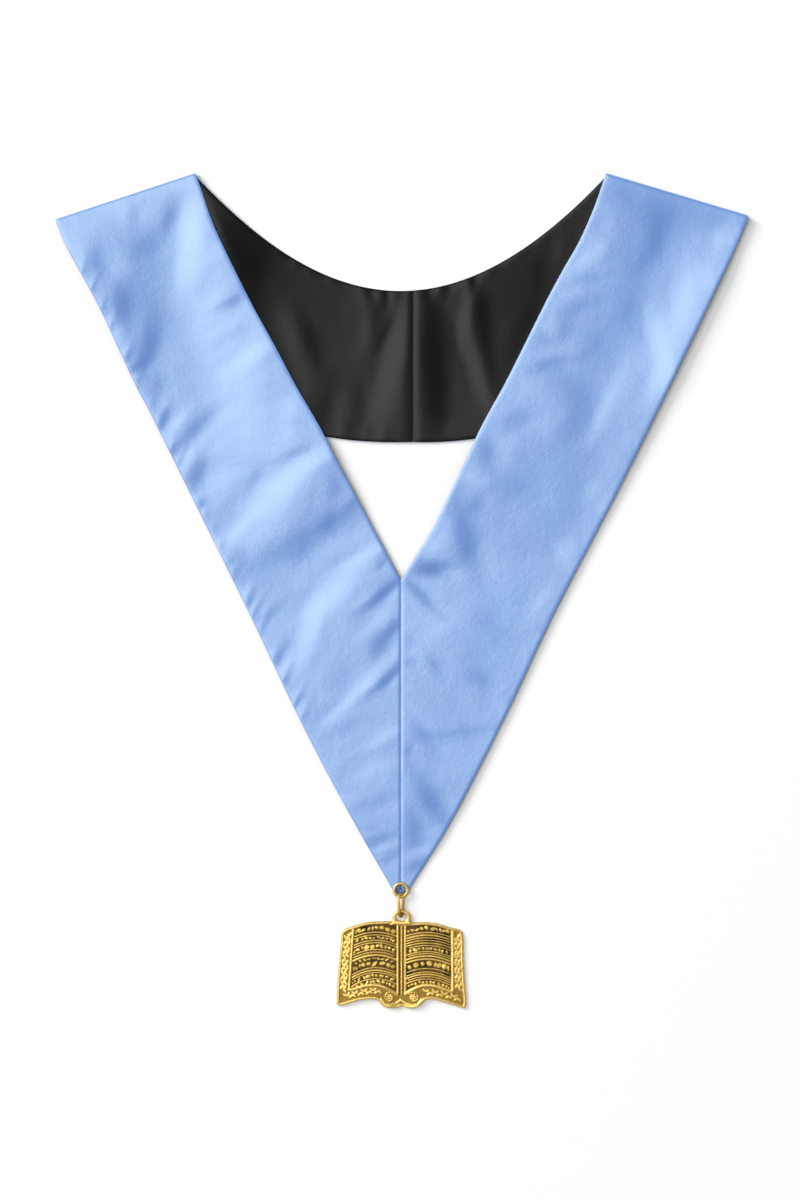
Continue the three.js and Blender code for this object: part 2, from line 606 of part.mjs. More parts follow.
// The space under the book's domed face, raised by the relief where that is wanted
function domeSpace(raise) {
  const reach = BOOK_HEIGHT;
  const rows = [...BOOK_SECTION].reverse().map((row) => ({ x: -row.x, z: row.z }));
  rows.push(...BOOK_SECTION.slice(1));
  const top = rows.map((row) => vector(row.x * BOOK_WIDTH / 2, row.z * BOOK_THICKNESS + raise));
  const first = top[0];
  const last = top[top.length - 1];
  const shape = new THREE.Shape([...top, vector(last.x, -1), vector(first.x, -1)]);
  const geometry = new THREE.ExtrudeGeometry(shape, { depth: 2 * reach, bevelEnabled: false });
  geometry.translate(0, 0, -reach);
  geometry.rotateX(Math.PI / 2);
  return toSolid(geometry);
}

const RIDGE_POINTS = 4;
const DASHES_PER_ROW = 4;
const DASH_SHARES = [0.62, 0.72, 0.82]; // of the dashes' pitch, in turn

// The line of one row on a page, from the spine outwards
function rowY(row, x) {
  const middle = (PAGE_INNER + PAGE_OUTER) / 2;
  const share = (Math.abs(x) - middle) / ((PAGE_OUTER - PAGE_INNER) / 2);
  return mix(PAGE_TOP, PAGE_BOTTOM, row / (ROW_COUNT - 1)) - ROW_ARCH * share * share;
}

function pageMarks(sign) {
  const marks = [];
  for (let row = 0; row < ROW_COUNT; row += 1) {
    if (row % 2 === 0) {
      const points = [];
      for (let i = 0; i < RIDGE_POINTS; i += 1) {
        const x = sign * mix(PAGE_INNER, PAGE_OUTER, i / (RIDGE_POINTS - 1));
        points.push(vector(x, rowY(row, x)));
      }
      marks.push(ridge(points, ROW_RIDGE_WIDTH));
    } else {
      const pitch = (PAGE_OUTER - PAGE_INNER) / DASHES_PER_ROW;
      for (let i = 0; i < DASHES_PER_ROW; i += 1) {
        const x = sign * (PAGE_INNER + pitch * (i + 0.5));
        const length = pitch * DASH_SHARES[(row + 2 * i) % DASH_SHARES.length];
        const turn = Math.atan2(rowY(row, x + 1) - rowY(row, x - 1), 2);
        marks.push(dash(x, rowY(row, x), length, DASH_WIDTH, turn));
      }
    }
  }
  return marks;
}

// The arched foot of a page's frame: over = share of the rows' reach from the spine, drop =
// share of the page's foot below the last row
const FRAME_FOOT = [
  { over: 0.78, drop: 0.34 }, { over: 0.55, drop: 0.2 }, { over: 0.35, drop: 0.41 },
  { over: 0.1, drop: 0.92 },
];
const FRAME_CORNER_DROP = 0.58;

// The plain frame round a page: its outer side and its arched foot
function pageFrame(sign) {
  const top = vector(sign * (PAGE_OUTER + FRAME_GAP), PAGE_TOP + SPINE_BEAD);
  const corner = vector(
    sign * (PAGE_OUTER + FRAME_GAP + FRAME_SPREAD),
    PAGE_BOTTOM - FRAME_CORNER_DROP * PAGE_FOOT,
  );
  const foot = FRAME_FOOT.map((row) => {
    return vector(sign * row.over * PAGE_OUTER, PAGE_BOTTOM - row.drop * PAGE_FOOT);
  });
  const side = [top, top.clone().lerp(corner, 0.5), corner];
  return [ridge(side, FRAME_RIDGE), ridge([corner, ...foot], FRAME_RIDGE)];
}

// Scrolls of the lower border: over = place from the spine as a share of half the width, up =
// share of half the height, size = radius as a share of the height, start and turns in degrees
const SCROLLS = [
  { over: 0.17, up: -0.77, size: 0.052, start: 200, turns: 400 },
  { over: 0.4, up: -0.66, size: 0.034, start: 20, turns: 330 },
  { over: 0.56, up: -0.7, size: 0.036, start: 200, turns: 330 },
  { over: 0.74, up: -0.77, size: 0.036, start: 20, turns: 330 },
  { over: 0.9, up: -0.84, size: 0.03, start: 200, turns: 330 },
];
const SCROLL_POINTS = 7;

function scroll(row, sign) {
  const points = [];
  for (let i = 0; i < SCROLL_POINTS; i += 1) {
    const share = i / (SCROLL_POINTS - 1);
    const radius = row.size * BOOK_HEIGHT * mix(1, 0.28, share);
    const angle = (row.start + row.turns * share) * RADIANS;
    const x = sign * (row.over * BOOK_WIDTH / 2 + radius * Math.cos(angle));
    points.push(vector(x, row.up * BOOK_HEIGHT / 2 + radius * Math.sin(angle)));
  }
  return ridge(points, SCROLL_WIRE);
}

// Leaves down the side border, slanted in turn to one side and the other. The line that they
// stand on: x = share of half the book's width, y = share of half its height
const LEAF_LINE = { top: { x: 0.855, y: 0.7 }, foot: { x: 0.905, y: -0.66 } };
const LEAF_SLANT = 45; // degrees

function sideLeaves(sign) {
  const leaves = [];
  for (let i = 0; i < LEAVES_PER_SIDE; i += 1) {
    const share = (i + 0.5) / LEAVES_PER_SIDE;
    const x = sign * mix(LEAF_LINE.top.x, LEAF_LINE.foot.x, share) * BOOK_WIDTH / 2;
    const y = mix(LEAF_LINE.top.y, LEAF_LINE.foot.y, share) * BOOK_HEIGHT / 2;
    const slant = i % 2 === 0 ? LEAF_SLANT : 180 - LEAF_SLANT;
    leaves.push(dash(x, y, LEAF_LENGTH, LEAF_WIDTH, sign * slant * RADIANS));
  }
  return leaves;
}

function spineMarks() {
  const marks = [];
  const high = PAGE_TOP + SPINE_BEAD;
  const low = PAGE_BOTTOM - PAGE_FOOT;
  for (const side of [-1, 1]) {
    const x = side * SPINE_RIDGE_X;
    marks.push(ridge([vector(x, high), vector(x, low)], SPINE_RIDGE));
  }
  for (let i = 0; i < SPINE_BEADS; i += 1) {
    const y = mix(high, low, (i + 0.5) / SPINE_BEADS);
    marks.push(dash(0, y, SPINE_BEAD, SPINE_BEAD, 0));
  }
  return marks;
}

// The raised line round the book's edge
function rim() {
  const wide = prism(bookOutline(0), RELIEF_FOOT, RELIEF_TOP);
  const narrow = prism(bookOutline(RIM_WIDTH), RELIEF_FOOT - 1, RELIEF_TOP + 1);
  return wide.subtract(narrow);
}

// The hanging loop, with a foot that spreads onto the top of the book
const LOOP_BEVEL = 0.45;
const LOOP_CURVE_STEPS = 6;

function loopShape() {
  const outerHalf = LOOP_WIDTH / 2;
  const outerTop = LOOP_HOLE_HEIGHT / 2 + LOOP_BAR;
  const footY = -LOOP_HOLE_HEIGHT / 2 - LOOP_FOOT;
  const footHalf = outerHalf + LOOP_FOOT_SPREAD;
  const shape = new THREE.Shape();
  shape.moveTo(footHalf, footY);
  shape.quadraticCurveTo(outerHalf, footY + 0.4 * LOOP_FOOT, outerHalf, 0);
  shape.absellipse(0, 0, outerHalf, outerTop, 0, Math.PI, false, 0);
  shape.quadraticCurveTo(-outerHalf, footY + 0.4 * LOOP_FOOT, -footHalf, footY);
  return shape;
}

function hangingLoop() {
  const shape = loopShape();
  const hole = new THREE.Path();
  hole.absellipse(0, 0, LOOP_HOLE_WIDTH / 2, LOOP_HOLE_HEIGHT / 2, 0, 2 * Math.PI, true, 0);
  shape.holes.push(hole);
  const geometry = new THREE.ExtrudeGeometry(shape, {
    depth: LOOP_THICKNESS - 2 * LOOP_BEVEL,
    bevelThickness: LOOP_BEVEL,
    bevelSize: LOOP_BEVEL,
    bevelOffset: -LOOP_BEVEL,
    bevelSegments: 1,
    curveSegments: LOOP_CURVE_STEPS,
  });
  geometry.translate(0, LOOP_HOLE_Y - BOOK_Y, LOOP_HEIGHT - LOOP_THICKNESS / 2 + LOOP_BEVEL);
  return toSolid(geometry);
}

// Fills the space between the loop's foot and the book, inside the book's outline
function footPad(block) {
  const points = loopShape().getPoints(LOOP_CURVE_STEPS).map((point) => {
    return point.add(vector(0, LOOP_HOLE_Y - BOOK_Y));
  });
  return prism(points, RELIEF_FOOT, LOOP_HEIGHT).intersect(block);
}

function bookGeometry() {
  const block = prism(bookOutline(0), 0, RELIEF_TOP);
  let marks = rim();
  const scrolls = [-1, 1].flatMap((sign) => SCROLLS.map((row) => scroll(row, sign)));
  const pieces = [
    ...pageMarks(-1), ...pageMarks(1), ...pageFrame(-1), ...pageFrame(1),
    ...sideLeaves(-1), ...sideLeaves(1), ...spineMarks(), ...scrolls,
  ];
  for (const piece of pieces) {
    marks = marks.add(piece);
  }
  const relief = marks.intersect(block).intersect(domeSpace(RELIEF));
  const loop = hangingLoop().add(footPad(block));
  return toGeometry(block.intersect(domeSpace(0)).add(relief).add(loop));
}

const satinBlue = new THREE.MeshStandardMaterial({ color: 0x96b9eb, roughness: 0.55, metalness: 0 });
const liningBlack = new THREE.MeshStandardMaterial({ color: 0x1c1c20, roughness: 0.5, metalness: 0 });
const oldGold = new THREE.MeshStandardMaterial({ color: 0xc8a54b, roughness: 0.35, metalness: 1 });

function namedMesh(name, geometry, material) {
  const mesh = new THREE.Mesh(geometry, material);
  mesh.name = name;
  return mesh;
}

const parts = new THREE.Group();
parts.add(namedMesh('satin_left', clothWall(LEFT, SATIN_LAYER), satinBlue));
parts.add(namedMesh('satin_right', clothWall(RIGHT, SATIN_LAYER), satinBlue));
parts.add(namedMesh('lining_left', clothWall(LEFT, LINING_LAYER), liningBlack));
parts.add(namedMesh('lining_right', clothWall(RIGHT, LINING_LAYER), liningBlack));

const ring = namedMesh('sewn_ring', ringGeometry(), oldGold);
ring.position.set(0, RING_Y, RING_Z);
parts.add(ring);

const link = namedMesh('jewel_link', linkGeometry(), oldGold);
link.position.set(0, (LINK_TOP_Y + LINK_LOW_Y) / 2, (RING_Z + LINK_LOW_Z) / 2);
link.rotation.set(LINK_PITCH, LINK_TILT * RADIANS, 0);
parts.add(link);

const book = namedMesh('book_jewel', bookGeometry(), oldGold);
book.position.set(BOOK_X, BOOK_Y, 0);
parts.add(book);

// The origin is on the floor under the middle of the whole object
parts.updateMatrixWorld(true);
const bounds = new THREE.Box3().setFromObject(parts, true);
const middle = bounds.getCenter(new THREE.Vector3());
parts.position.set(-middle.x, -middle.y, -bounds.min.z);

const collar = new THREE.Group();
collar.add(parts);

export default collar;
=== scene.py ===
# The looks of a ceremonial ribbon collar that lies flat, with a cast book jewel at its tip.
# Everything is worked out in millimetres in the collar's plan, whose zero is the front notch,
# and brought into the frame, in metres, when a mesh is made.
import math

import bpy
import numpy as np
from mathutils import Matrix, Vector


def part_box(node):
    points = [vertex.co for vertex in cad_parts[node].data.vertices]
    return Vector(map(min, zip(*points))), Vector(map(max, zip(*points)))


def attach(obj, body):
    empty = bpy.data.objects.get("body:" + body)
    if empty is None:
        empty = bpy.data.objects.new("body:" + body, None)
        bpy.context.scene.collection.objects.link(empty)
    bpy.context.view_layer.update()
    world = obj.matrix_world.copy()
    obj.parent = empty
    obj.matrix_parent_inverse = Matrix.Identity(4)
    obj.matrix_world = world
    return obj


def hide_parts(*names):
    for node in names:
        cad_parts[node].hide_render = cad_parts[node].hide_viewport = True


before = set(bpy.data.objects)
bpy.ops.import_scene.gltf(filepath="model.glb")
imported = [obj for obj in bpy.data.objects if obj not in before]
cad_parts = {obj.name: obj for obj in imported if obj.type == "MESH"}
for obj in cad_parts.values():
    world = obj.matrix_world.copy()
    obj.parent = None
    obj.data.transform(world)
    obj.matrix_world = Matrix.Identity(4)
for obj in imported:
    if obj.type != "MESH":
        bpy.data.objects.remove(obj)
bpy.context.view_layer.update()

MM = 0.001

# The collar's pattern, as in the part
BAND_WIDTH = 100.8
SHOULDER_SPAN = 282.9
FRONT_DROP = 280.4
NECK_DROP = 80.4
NECK_BAND = 105.0
BACK_SEAM_X = 8.1
FOLD_SLOPE_LEFT = 18.3
FOLD_SLOPE_RIGHT = 16.6
TIP_TRIM = 7.9
NECK_EDGE_TURN = 7.4
SATIN_WALL = 1.2
LINING_WALL = 1.0
LAYER_GAP = 0.3
CAD_SEAM_GAP = 0.3
FOLD_RADIUS = 0.8
STRAP_CLEARANCE = 0.5
FOLD_EASE = 32.0
DRAPE_MARGIN = 7.0
DRAPE_REACH = 85.0

# The metal, as in the part, but for the loop's foot, which is shorter here
RING_OUTER = 11.1
RING_WIRE = 1.9
RING_SEAT = 2.0
RING_CLEARANCE = 0.3
LINK_LENGTH = 16.75
LINK_WIDTH = 7.3
LINK_WIRE = 1.6
LINK_TILT = 54.0
LINK_TWIST = 16.0
LINK_SLACK = 0.15
FLOOR_CLEARANCE = 0.05
LOOP_SLACK = 1.2
LOOP_WIDTH = 12.2
LOOP_HOLE_WIDTH = 7.5
LOOP_HOLE_HEIGHT = 5.55
LOOP_BAR = 2.35
LOOP_THICKNESS = 1.7
LOOP_FOOT = 2.8
LOOP_FOOT_SPREAD = 2.6
LOOP_HEIGHT = 2.75
BOOK_WIDTH = 89.5
BOOK_HEIGHT = 60.2
BOOK_THICKNESS = 2.9
BOOK_X = 0.5

# The finished edges of the cloth: how far in and how deep each face rolls over at an edge and at
# the seams of the left and the right half, how the rolls steepen, and how square the folds are
SEAM_HALF_GAP = 0.02
LINING_INSET = 0.03
SATIN_ROLL = 2.0
SATIN_ROLL_DEPTH = 0.36
LINING_ROLL = 1.0
LINING_ROLL_DEPTH = 0.55
SEAM_ROLL_LEFT = 4.6
SEAM_ROLL_RIGHT = 2.2
SEAM_ROLL_DEPTH = 0.75
ROLL_POWER = 1.5
FOLD_SQUARENESS = 0.42

# The cloth's relief: how far from a fold, the tip and a strap's edge it fades in, how much of the
# part's swells shows, how soft the patches and the gathers are, how far and how softly a face
# may sink, and the depth in metres of the fine crumples and the grain
RELIEF_START = 26.0
LOFT_START = 48.0
STRAP_LOFT = 1.6
TIP_FLAT = 12.0
TIP_FADE = 45.0
UNDER_STRAP_FADE = 14.0
SWELL_SHARE = 0.4
NECK_FOLD_SHARE = 0.5
PATCH_SOFTNESS = 1.2
GATHER_FADE = 1.2
THIN_BY = 0.9
SINK_SOFTNESS = 0.25
SATIN_CRUMPLE = 0.0004
LINING_CRUMPLE = 0.0002
GRAIN_DEPTH = 0.0001

# The puckers along a strap's outer edge: where they start, the ranges of their spacing, reach,
# half width and lean, how much each half has of that lean, and how far they slant
PUCKER_SEED = 7
PUCKER_COUNT = 22
PUCKER_START = 20
PUCKER_SPACING = (9, 24)
PUCKER_REACH = (9, 22)
PUCKER_HALF_WIDTH = (1.6, 3.2)
PUCKER_LEAN = (1.6, 4.0)
PUCKER_SHARE_LEFT = -1.0
PUCKER_SHARE_RIGHT = 0.3
PUCKER_SLANT = 0.7

# The thread's stitches: how far from the ring's middle they lie, their size, the height of
# their ends, the rise of their middles, and the turn from one to the next
THREAD_SEED = 5
THREAD_STITCHES = 26
THREAD_REACH = 3.3
THREAD_LENGTH = 1.7
THREAD_WIDTH = 0.34
THREAD_LEVEL = 2.75
THREAD_ARCH = 0.25
STITCH_TURN = 37.0

# The link's wire is this much thicker at its lower end, where it lies on the floor
LINK_SWELL = 1.4

# Where the two lights stand round the collar: to the left, and a little towards the neck
LIGHT_AZIMUTH = math.radians(160)
KEY_AZIMUTH = math.radians(146)
TOWARD_LIGHT = (math.cos(LIGHT_AZIMUTH), math.sin(LIGHT_AZIMUTH))

# Spacing and counts of the meshes' points, and the angles at which they stand round a roll
SATIN_STEP = 1.5
LINING_STEP = 2.4
ROLL_ANGLES = (0, 25, 45, 60, 75, 90)
FOLD_STEPS = 16
NECK_EDGE_STEPS = 40
NECKLINE_STEPS = 200
RING_STEPS = 64
RING_SIDES = 20
LINK_BEND_STEPS = 24
LINK_SIDES = 16
LOOP_STEPS = 72
LOOP_SIDES = 16
THREAD_STEPS = 7
THREAD_SIDES = 6

# The length that a half's neck rows are spaced over, and what shapes the panel's lower edge: its
# run beside the seam and its sag there, as shares of the span and the neck band, and its reach
# from the fold, as a share of the band
NECK_LENGTH = 175.0
NECK_EDGE_RUN = 0.336
NECK_EDGE_SAG = 0.03
NECK_EDGE_REACH = 1.38

# What a station's angle says where it isn't on the fold, and how far from an end all others are
ON_NECK = -1.0
ON_STRAP = 4.0
FAR = 1000.0

CLOTH = SATIN_WALL + LAYER_GAP + LINING_WALL
FOLD_OUTER = CLOTH + FOLD_RADIUS
STRAP_AT_FOLD = 2 * FOLD_OUTER - CLOTH
STRAP_ON_NECK = CLOTH + STRAP_CLEARANCE
HALF_ANGLE = math.atan2(SHOULDER_SPAN / 2, FRONT_DROP)
FRONT_EDGE = math.hypot(SHOULDER_SPAN / 2, FRONT_DROP)
TIP_Y = -BAND_WIDTH / math.sin(HALF_ANGLE)
TIP_END_Y = TIP_Y + TIP_TRIM
NECK_LOW_Y = FRONT_DROP - NECK_DROP - NECK_BAND

# The plan's zero in the frame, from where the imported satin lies
left_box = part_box("satin_left")
PLAN_X = left_box[1][0] / MM - (BACK_SEAM_X - CAD_SEAM_GAP / 2)
PLAN_Y = left_box[1][1] / MM - FRONT_DROP

# How far each strap edge bows outwards: place as a share of the edge's length from the
# shoulder, bow as a share of the band's width
INNER_BOW_LEFT = [
    (0, 0), (0.03, 0.012), (0.066, 0.029), (0.115, 0.046), (0.214, 0.055), (0.312, 0.056),
    (0.41, 0.045), (0.509, 0.04), (0.62, 0.021), (0.71, 0.021), (0.8, 0.013), (0.9, 0.008),
    (1, 0),
]
INNER_BOW_RIGHT = [
    (0, 0), (0.063, 0.026), (0.112, 0.038), (0.162, 0.042), (0.22, 0.032), (0.3, 0.026),
    (0.5, 0.029), (0.61, 0.018), (0.7, 0.024), (0.8, 0.032), (0.85, 0.037), (0.9, 0.028),
    (1, 0),
]
OUTER_BOW_LEFT = [
    (0, 0), (0.03, 0.011), (0.117, -0.003), (0.234, 0.016), (0.27, 0.012), (0.4, 0.018),
    (0.58, 0.028), (0.7, 0.044), (0.79, 0.045), (0.85, 0.036), (0.91, 0.024), (0.96, 0.009),
    (1, 0),
]
OUTER_BOW_RIGHT = [
    (0, 0), (0.033, 0.013), (0.12, 0.026), (0.237, 0.039), (0.33, 0.046), (0.41, 0.047),
    (0.56, 0.036), (0.62, 0.042), (0.7, 0.055), (0.79, 0.057), (0.876, 0.05), (0.935, 0.027),
    (0.965, 0.01), (1, 0),
]

# Soft swells on the straps: down as a share of the inner edge from the shoulder, over as a
# share of the band from the inner edge, half length and half width as shares of the band,
# turn in degrees, rise as a share of the band
SWELLS_LEFT = [
    (0.15, 0.12, 0.55, 0.16, 8, 0.009),
    (0.1, 0.5, 0.22, 0.26, -10, 0.0066),
    (0.19, 0.8, 0.2, 0.2, 15, 0.0072),
    (0.38, 0.72, 0.4, 0.22, 12, 0.0078),
    (0.45, 0.26, 0.22, 0.26, -30, 0.0084),
    (0.56, 0.7, 0.16, 0.3, 18, 0.0072),
    (0.755, 0.52, 0.3, 0.5, 11, 0.0135),
    (1.03, 0.46, 0.32, 0.46, 27, 0.012),
    (1.28, 0.6, 0.16, 0.36, 16, 0.0054),
]
SWELLS_RIGHT = [
    (0.12, 0.22, 0.3, 0.18, 0, 0.0072),
    (0.16, 0.62, 0.34, 0.22, 12, 0.0072),
    (0.36, 0.34, 0.2, 0.26, -12, 0.0084),
    (0.42, 0.8, 0.46, 0.18, 4, 0.009),
    (0.62, 0.26, 0.2, 0.24, 20, 0.0078),
    (0.72, 0.68, 0.4, 0.24, -8, 0.0066),
    (0.86, 0.2, 0.26, 0.18, -16, 0.0108),
    (1.08, 0.5, 0.24, 0.4, -24, 0.0072),
    (1.3, 0.56, 0.16, 0.36, -20, 0.0054),
]

# Soft folds in the lining at the neck: over as a share of half the shoulder span, up as a
# share of the neck band, half width, half height and rise as shares of the band, turn
NECK_FOLDS = [
    (0.075, 0.48, 0.26, 0.62, 0, 0.03),
    (0.37, 0.62, 0.11, 0.42, 12, 0.016),
    (-0.15, 0.8, 0.1, 0.3, 0, 0.012),
    (-0.5, 0.72, 0.13, 0.44, 22, 0.014),
    (-0.26, 0.2, 0.12, 0.3, -8, 0.012),
]

# Where the satin leans: the middle of each patch in the plan, half length and half width in
# millimetres, the turn of its length from +X in degrees, and how far it leans towards the
# light at its middle, in degrees
LEANS_LEFT = [
    (-184, 190, 80, 34, 117, -3.4), (-118, 150, 90, 24, 117, 1.4), (-190, 262, 52, 8, 18, 1.6),
    (-144, 243, 30, 9, 93, 5.2), (-149, 214, 14, 8, 80, 2.0), (-128, 226, 10, 6, 30, 1.6),
    (-160, 249, 10, 6, 65, -3.6), (-163, 264, 22, 6, 10, -1.4), (-174, 231, 18, 9, 15, -3.2),
    (-184, 254, 8, 4, 95, -2.0), (-194, 255, 8, 5, 130, 2.0), (-176, 252, 7, 6, 90, 1.0),
    (-211, 219, 12, 7, 118, -3.0), (-193, 215, 10, 8, 90, 2.2), (-192, 190, 13, 8, 110, -4.6),
    (-196, 172, 12, 5, 118, 2.6), (-173, 160, 16, 8, 80, -4.4), (-181, 147, 9, 4, 25, -4.0),
    (-168, 133, 9, 7, 60, -2.6), (-136, 184, 10, 8, 70, 0.8), (-117, 191, 11, 5, 15, -4.4),
    (-108, 204, 7, 7, 120, -1.8), (-117, 168, 14, 5, 20, -2.0), (-103, 155, 15, 6, 25, 4.4),
    (-164, 113, 7, 6, 65, -3.0), (-154, 109, 10, 4, 40, 2.2), (-142, 104, 20, 6, 37, -4.0),
    (-140, 73, 12, 6, 70, -4.6), (-145, 87, 7, 4, 40, 1.6), (-123, 69, 11, 8, 60, 1.6),
    (-100, 71, 11, 5, 60, -1.8), (-77, 118, 9, 9, 0, 2.0), (-78, 100, 8, 6, 0, 1.6),
    (-71, 88, 13, 4, 10, -2.6), (-64, 80, 20, 7, 27, 4.4), (-86, 60, 24, 13, 45, 4.6),
    (-111, 36, 16, 5, 40, 3.2), (-45, 65, 9, 7, 120, -2.4), (-75, 24, 46, 12, 20, -3.0),
    (-50, 39, 7, 6, 0, -3.0), (-68, 18, 11, 9, 0, -1.6), (-114, 15, 9, 6, 35, -2.4),
    (-33, 52, 8, 5, 30, -2.8), (-137, 53, 6, 3, 0, -2.6), (-121, 48, 9, 8, 0, -1.0),
    (-127, 36, 8, 5, 120, -1.0), (-26, 16, 17, 5, 25, 4.0), (-14, 11, 5, 3, 40, -2.6),
    (-95, -8, 20, 8, 20, -1.0), (-90, -23, 11, 4, 35, -2.8), (-48, -11, 22, 9, 30, 4.4),
    (-62, -33, 18, 8, 75, 3.8), (-71, -56, 14, 7, 60, 1.8), (-81, -47, 8, 5, 50, -1.8),
    (-84, -54, 5, 3, 60, -1.8), (-12, -9, 15, 4, 33, -6.4), (-14, -27, 12, 5, 35, 2.0),
    (-14, -43, 10, 8, 45, -3.6), (-5, -33, 8, 4, 42, -4.2), (-30, -77, 28, 5, 42, 2.8),
    (-9, -68, 12, 3.5, 36, -5.4), (-44, -66, 12, 8, 20, -1.2), (-68, -82, 8, 4, 30, -1.4),
    (-40, -102, 26, 6, 4, -1.2), (-13, -109, 14, 4, 20, 2.0), (-22, -132, 15, 7, 15, 1.4),
    (-17, -153, 18, 5, 10, -1.8), (-14, -178, 10, 3, 5, -2.2), (-12, -185, 8, 2.5, 5, 2.4),
    (-8, -192, 6, 2, 10, -2.2), (-5, -198, 4, 2.5, 10, 1.4),
]
LEANS_RIGHT = [
    (182, 258, 48, 18, -16, -3.8), (196, 180, 80, 26, 63, 3.0), (150, 200, 80, 24, 63, -1.6),
    (152, 268, 9, 8, 0, -1.2), (177, 251, 12, 9, 60, -1.8), (176, 232, 14, 9, 80, -2.8),
    (165, 217, 17, 10, 60, -2.2), (220, 250, 15, 5, -15, -1.6), (128, 221, 15, 5, 30, 2.0),
    (134, 244, 8, 5, 60, -1.4), (128, 207, 14, 4, 5, -1.4), (117, 198, 9, 4, 20, 0.8),
    (121, 188, 16, 6, 10, -2.0), (113, 173, 8, 7, 100, -2.8), (100, 165, 12, 6, 0, -2.0),
    (99, 148, 17, 5, 5, -2.4), (115, 133, 21, 10, -30, -1.4), (158, 188, 13, 10, 60, -1.6),
    (194, 191, 20, 9, 82, 2.2), (212, 213, 14, 9, 60, 1.2), (222, 236, 14, 6, 60, 1.4),
    (180, 157, 20, 8, 115, 3.6), (179, 139, 15, 8, 62, 3.0), (146, 128, 13, 6, 62, 1.2),
    (121, 113, 16, 11, 60, -2.2), (136, 108, 14, 5, 62, 1.4), (79, 110, 16, 7, 15, -2.4),
    (59, 88, 11, 8, 118, -3.8), (77, 65, 17, 9, 160, -1.6), (48, 70, 11, 4, -20, 1.6),
    (51, 52, 7, 6, 0, -2.4), (44, 30, 25, 9, 115, -4.0), (20, 8, 13, 5, -8, -6.4),
    (22, 23, 6, 6, 0, 1.4), (131, 61, 8, 7, 0, 1.4), (140, 52, 11, 5, 60, 1.4),
    (112, 21, 10, 8, 120, 1.6), (148, 85, 60, 11, 63, 0.9), (13, -10, 15, 3.5, -38, -3.8),
    (28, -33, 10, 6, 0, 1.2), (61, -31, 17, 7, -30, -1.0), (95, -15, 15, 8, 50, 1.2),
    (22, -58, 11, 5, -50, -2.0), (6, -57, 5, 3, 0, -2.2), (5, -43, 5, 5, 0, -1.4),
    (54, -68, 11, 5, -25, -2.0), (47, -83, 8, 7, 0, 0.7), (67, -88, 6, 6, 0, 0.7),
    (13, -105, 11, 5, -35, -2.2), (42, -105, 24, 4, 0, -1.3), (5, -118, 4, 6, 0, -2.2),
    (32, -132, 12, 6, 10, 0.6), (20, -152, 21, 7, -48, -4.0), (9, -171, 15, 6, -68, -3.0),
    (26, -173, 6, 4, 0, 1.2), (14, -187, 9, 4, 0, 2.2), (13, -197, 10, 5, 15, -3.4),
    (50, -60, 120, 30, 64, -0.7),
]
LEANS_NECK = [
    (-85, 210, 80, 50, -20, -3.2), (80, 190, 75, 55, 30, -2.2), (0, 190, 40, 60, 0, -0.8),
    (-112, 222, 34, 26, 130, -5.0), (-56, 112, 14, 18, 120, -2.6), (-8, 146, 44, 8, 78, 5.0),
    (-30, 192, 13, 6, 45, 1.6), (-26, 170, 14, 10, 90, 1.2), (-11, 171, 12, 2.5, 64, -4.0),
    (21, 168, 34, 8, 97, -3.4), (28, 130, 26, 12, 100, -1.6), (45, 184, 22, 4.5, 84, 3.6),
    (55, 138, 32, 7, 115, 3.0), (57, 187, 15, 6, 115, -3.0), (85, 172, 24, 8, 62, -1.4),
    (108, 228, 12, 5, 85, 1.8), (94, 212, 12, 6, 90, -1.4), (-60, 165, 20, 12, 100, -1.2),
    (-46, 134, 12, 14, 90, -1.4), (-76, 180, 16, 8, 110, 0.8), (-37, 104, 5, 2.5, 90, -2.2),
    (-21, 102, 5, 2.2, 80, -4.0), (-14, 103, 5, 2.5, 90, 2.0), (33, 104, 5, 2.5, 90, 1.4),
]

# Short gathers down from the neckline: place along x, reach down, half width and lean
NECK_GATHERS = [
    (-84, 7, 1.6, 1.8), (-78, 9, 2.0, -2.2), (-72, 8, 1.8, 2.6), (-63, 9, 2.0, 2.0),
    (-54, 10, 2.2, -2.4), (-47, 8, 1.8, 1.6), (-40, 10, 2.2, -2.2), (-27, 14, 3.0, 3.0),
    (-20, 14, 2.2, -3.6), (-14, 12, 2.2, 2.6), (-9, 20, 2.0, -4.2), (-4, 14, 2.0, 3.0),
    (2, 8, 1.8, -1.4), (19, 14, 2.6, -3.6), (27, 11, 2.4, 3.0), (34, 12, 2.4, -3.0),
    (46, 16, 3.0, 3.2), (51, 15, 2.2, -4.2), (61, 8, 2.0, 1.8), (69, 10, 2.4, -1.8),
    (80, 8, 2.0, 1.4), (91, 9, 2.4, -1.6),
]


def smooth(value):
    t = np.clip(value, 0.0, 1.0)
    return t * t * (3 - 2 * t)


# Keeps values above a lowest one without a sharp corner
def softly_above(value, lowest):
    return lowest + SINK_SOFTNESS * np.logaddexp(0, (value - lowest) / SINK_SOFTNESS)


# From a to b by a share
def mix(a, b, share):
    return a + (b - a) * share


# A smooth curve through a table of (place, value), read at many places
def table_value(rows, places):
    at = np.array([row[0] for row in rows], dtype=float)
    value = np.array([row[1] for row in rows], dtype=float)
    slope = np.gradient(value) / np.gradient(at)
    low = at[:-1]
    k = np.clip(np.searchsorted(low, places, side="right") - 1, 0, len(low) - 1)
    span = at[k + 1] - at[k]
    t = np.clip((places - at[k]) / span, 0, 1)
    rise = (1 - t) * (1 - t) * t * span * slope[k]
    fall = (1 - t) * t * t * span * slope[k + 1]
    return mix(value[k], value[k + 1], smooth(t)) + rise - fall


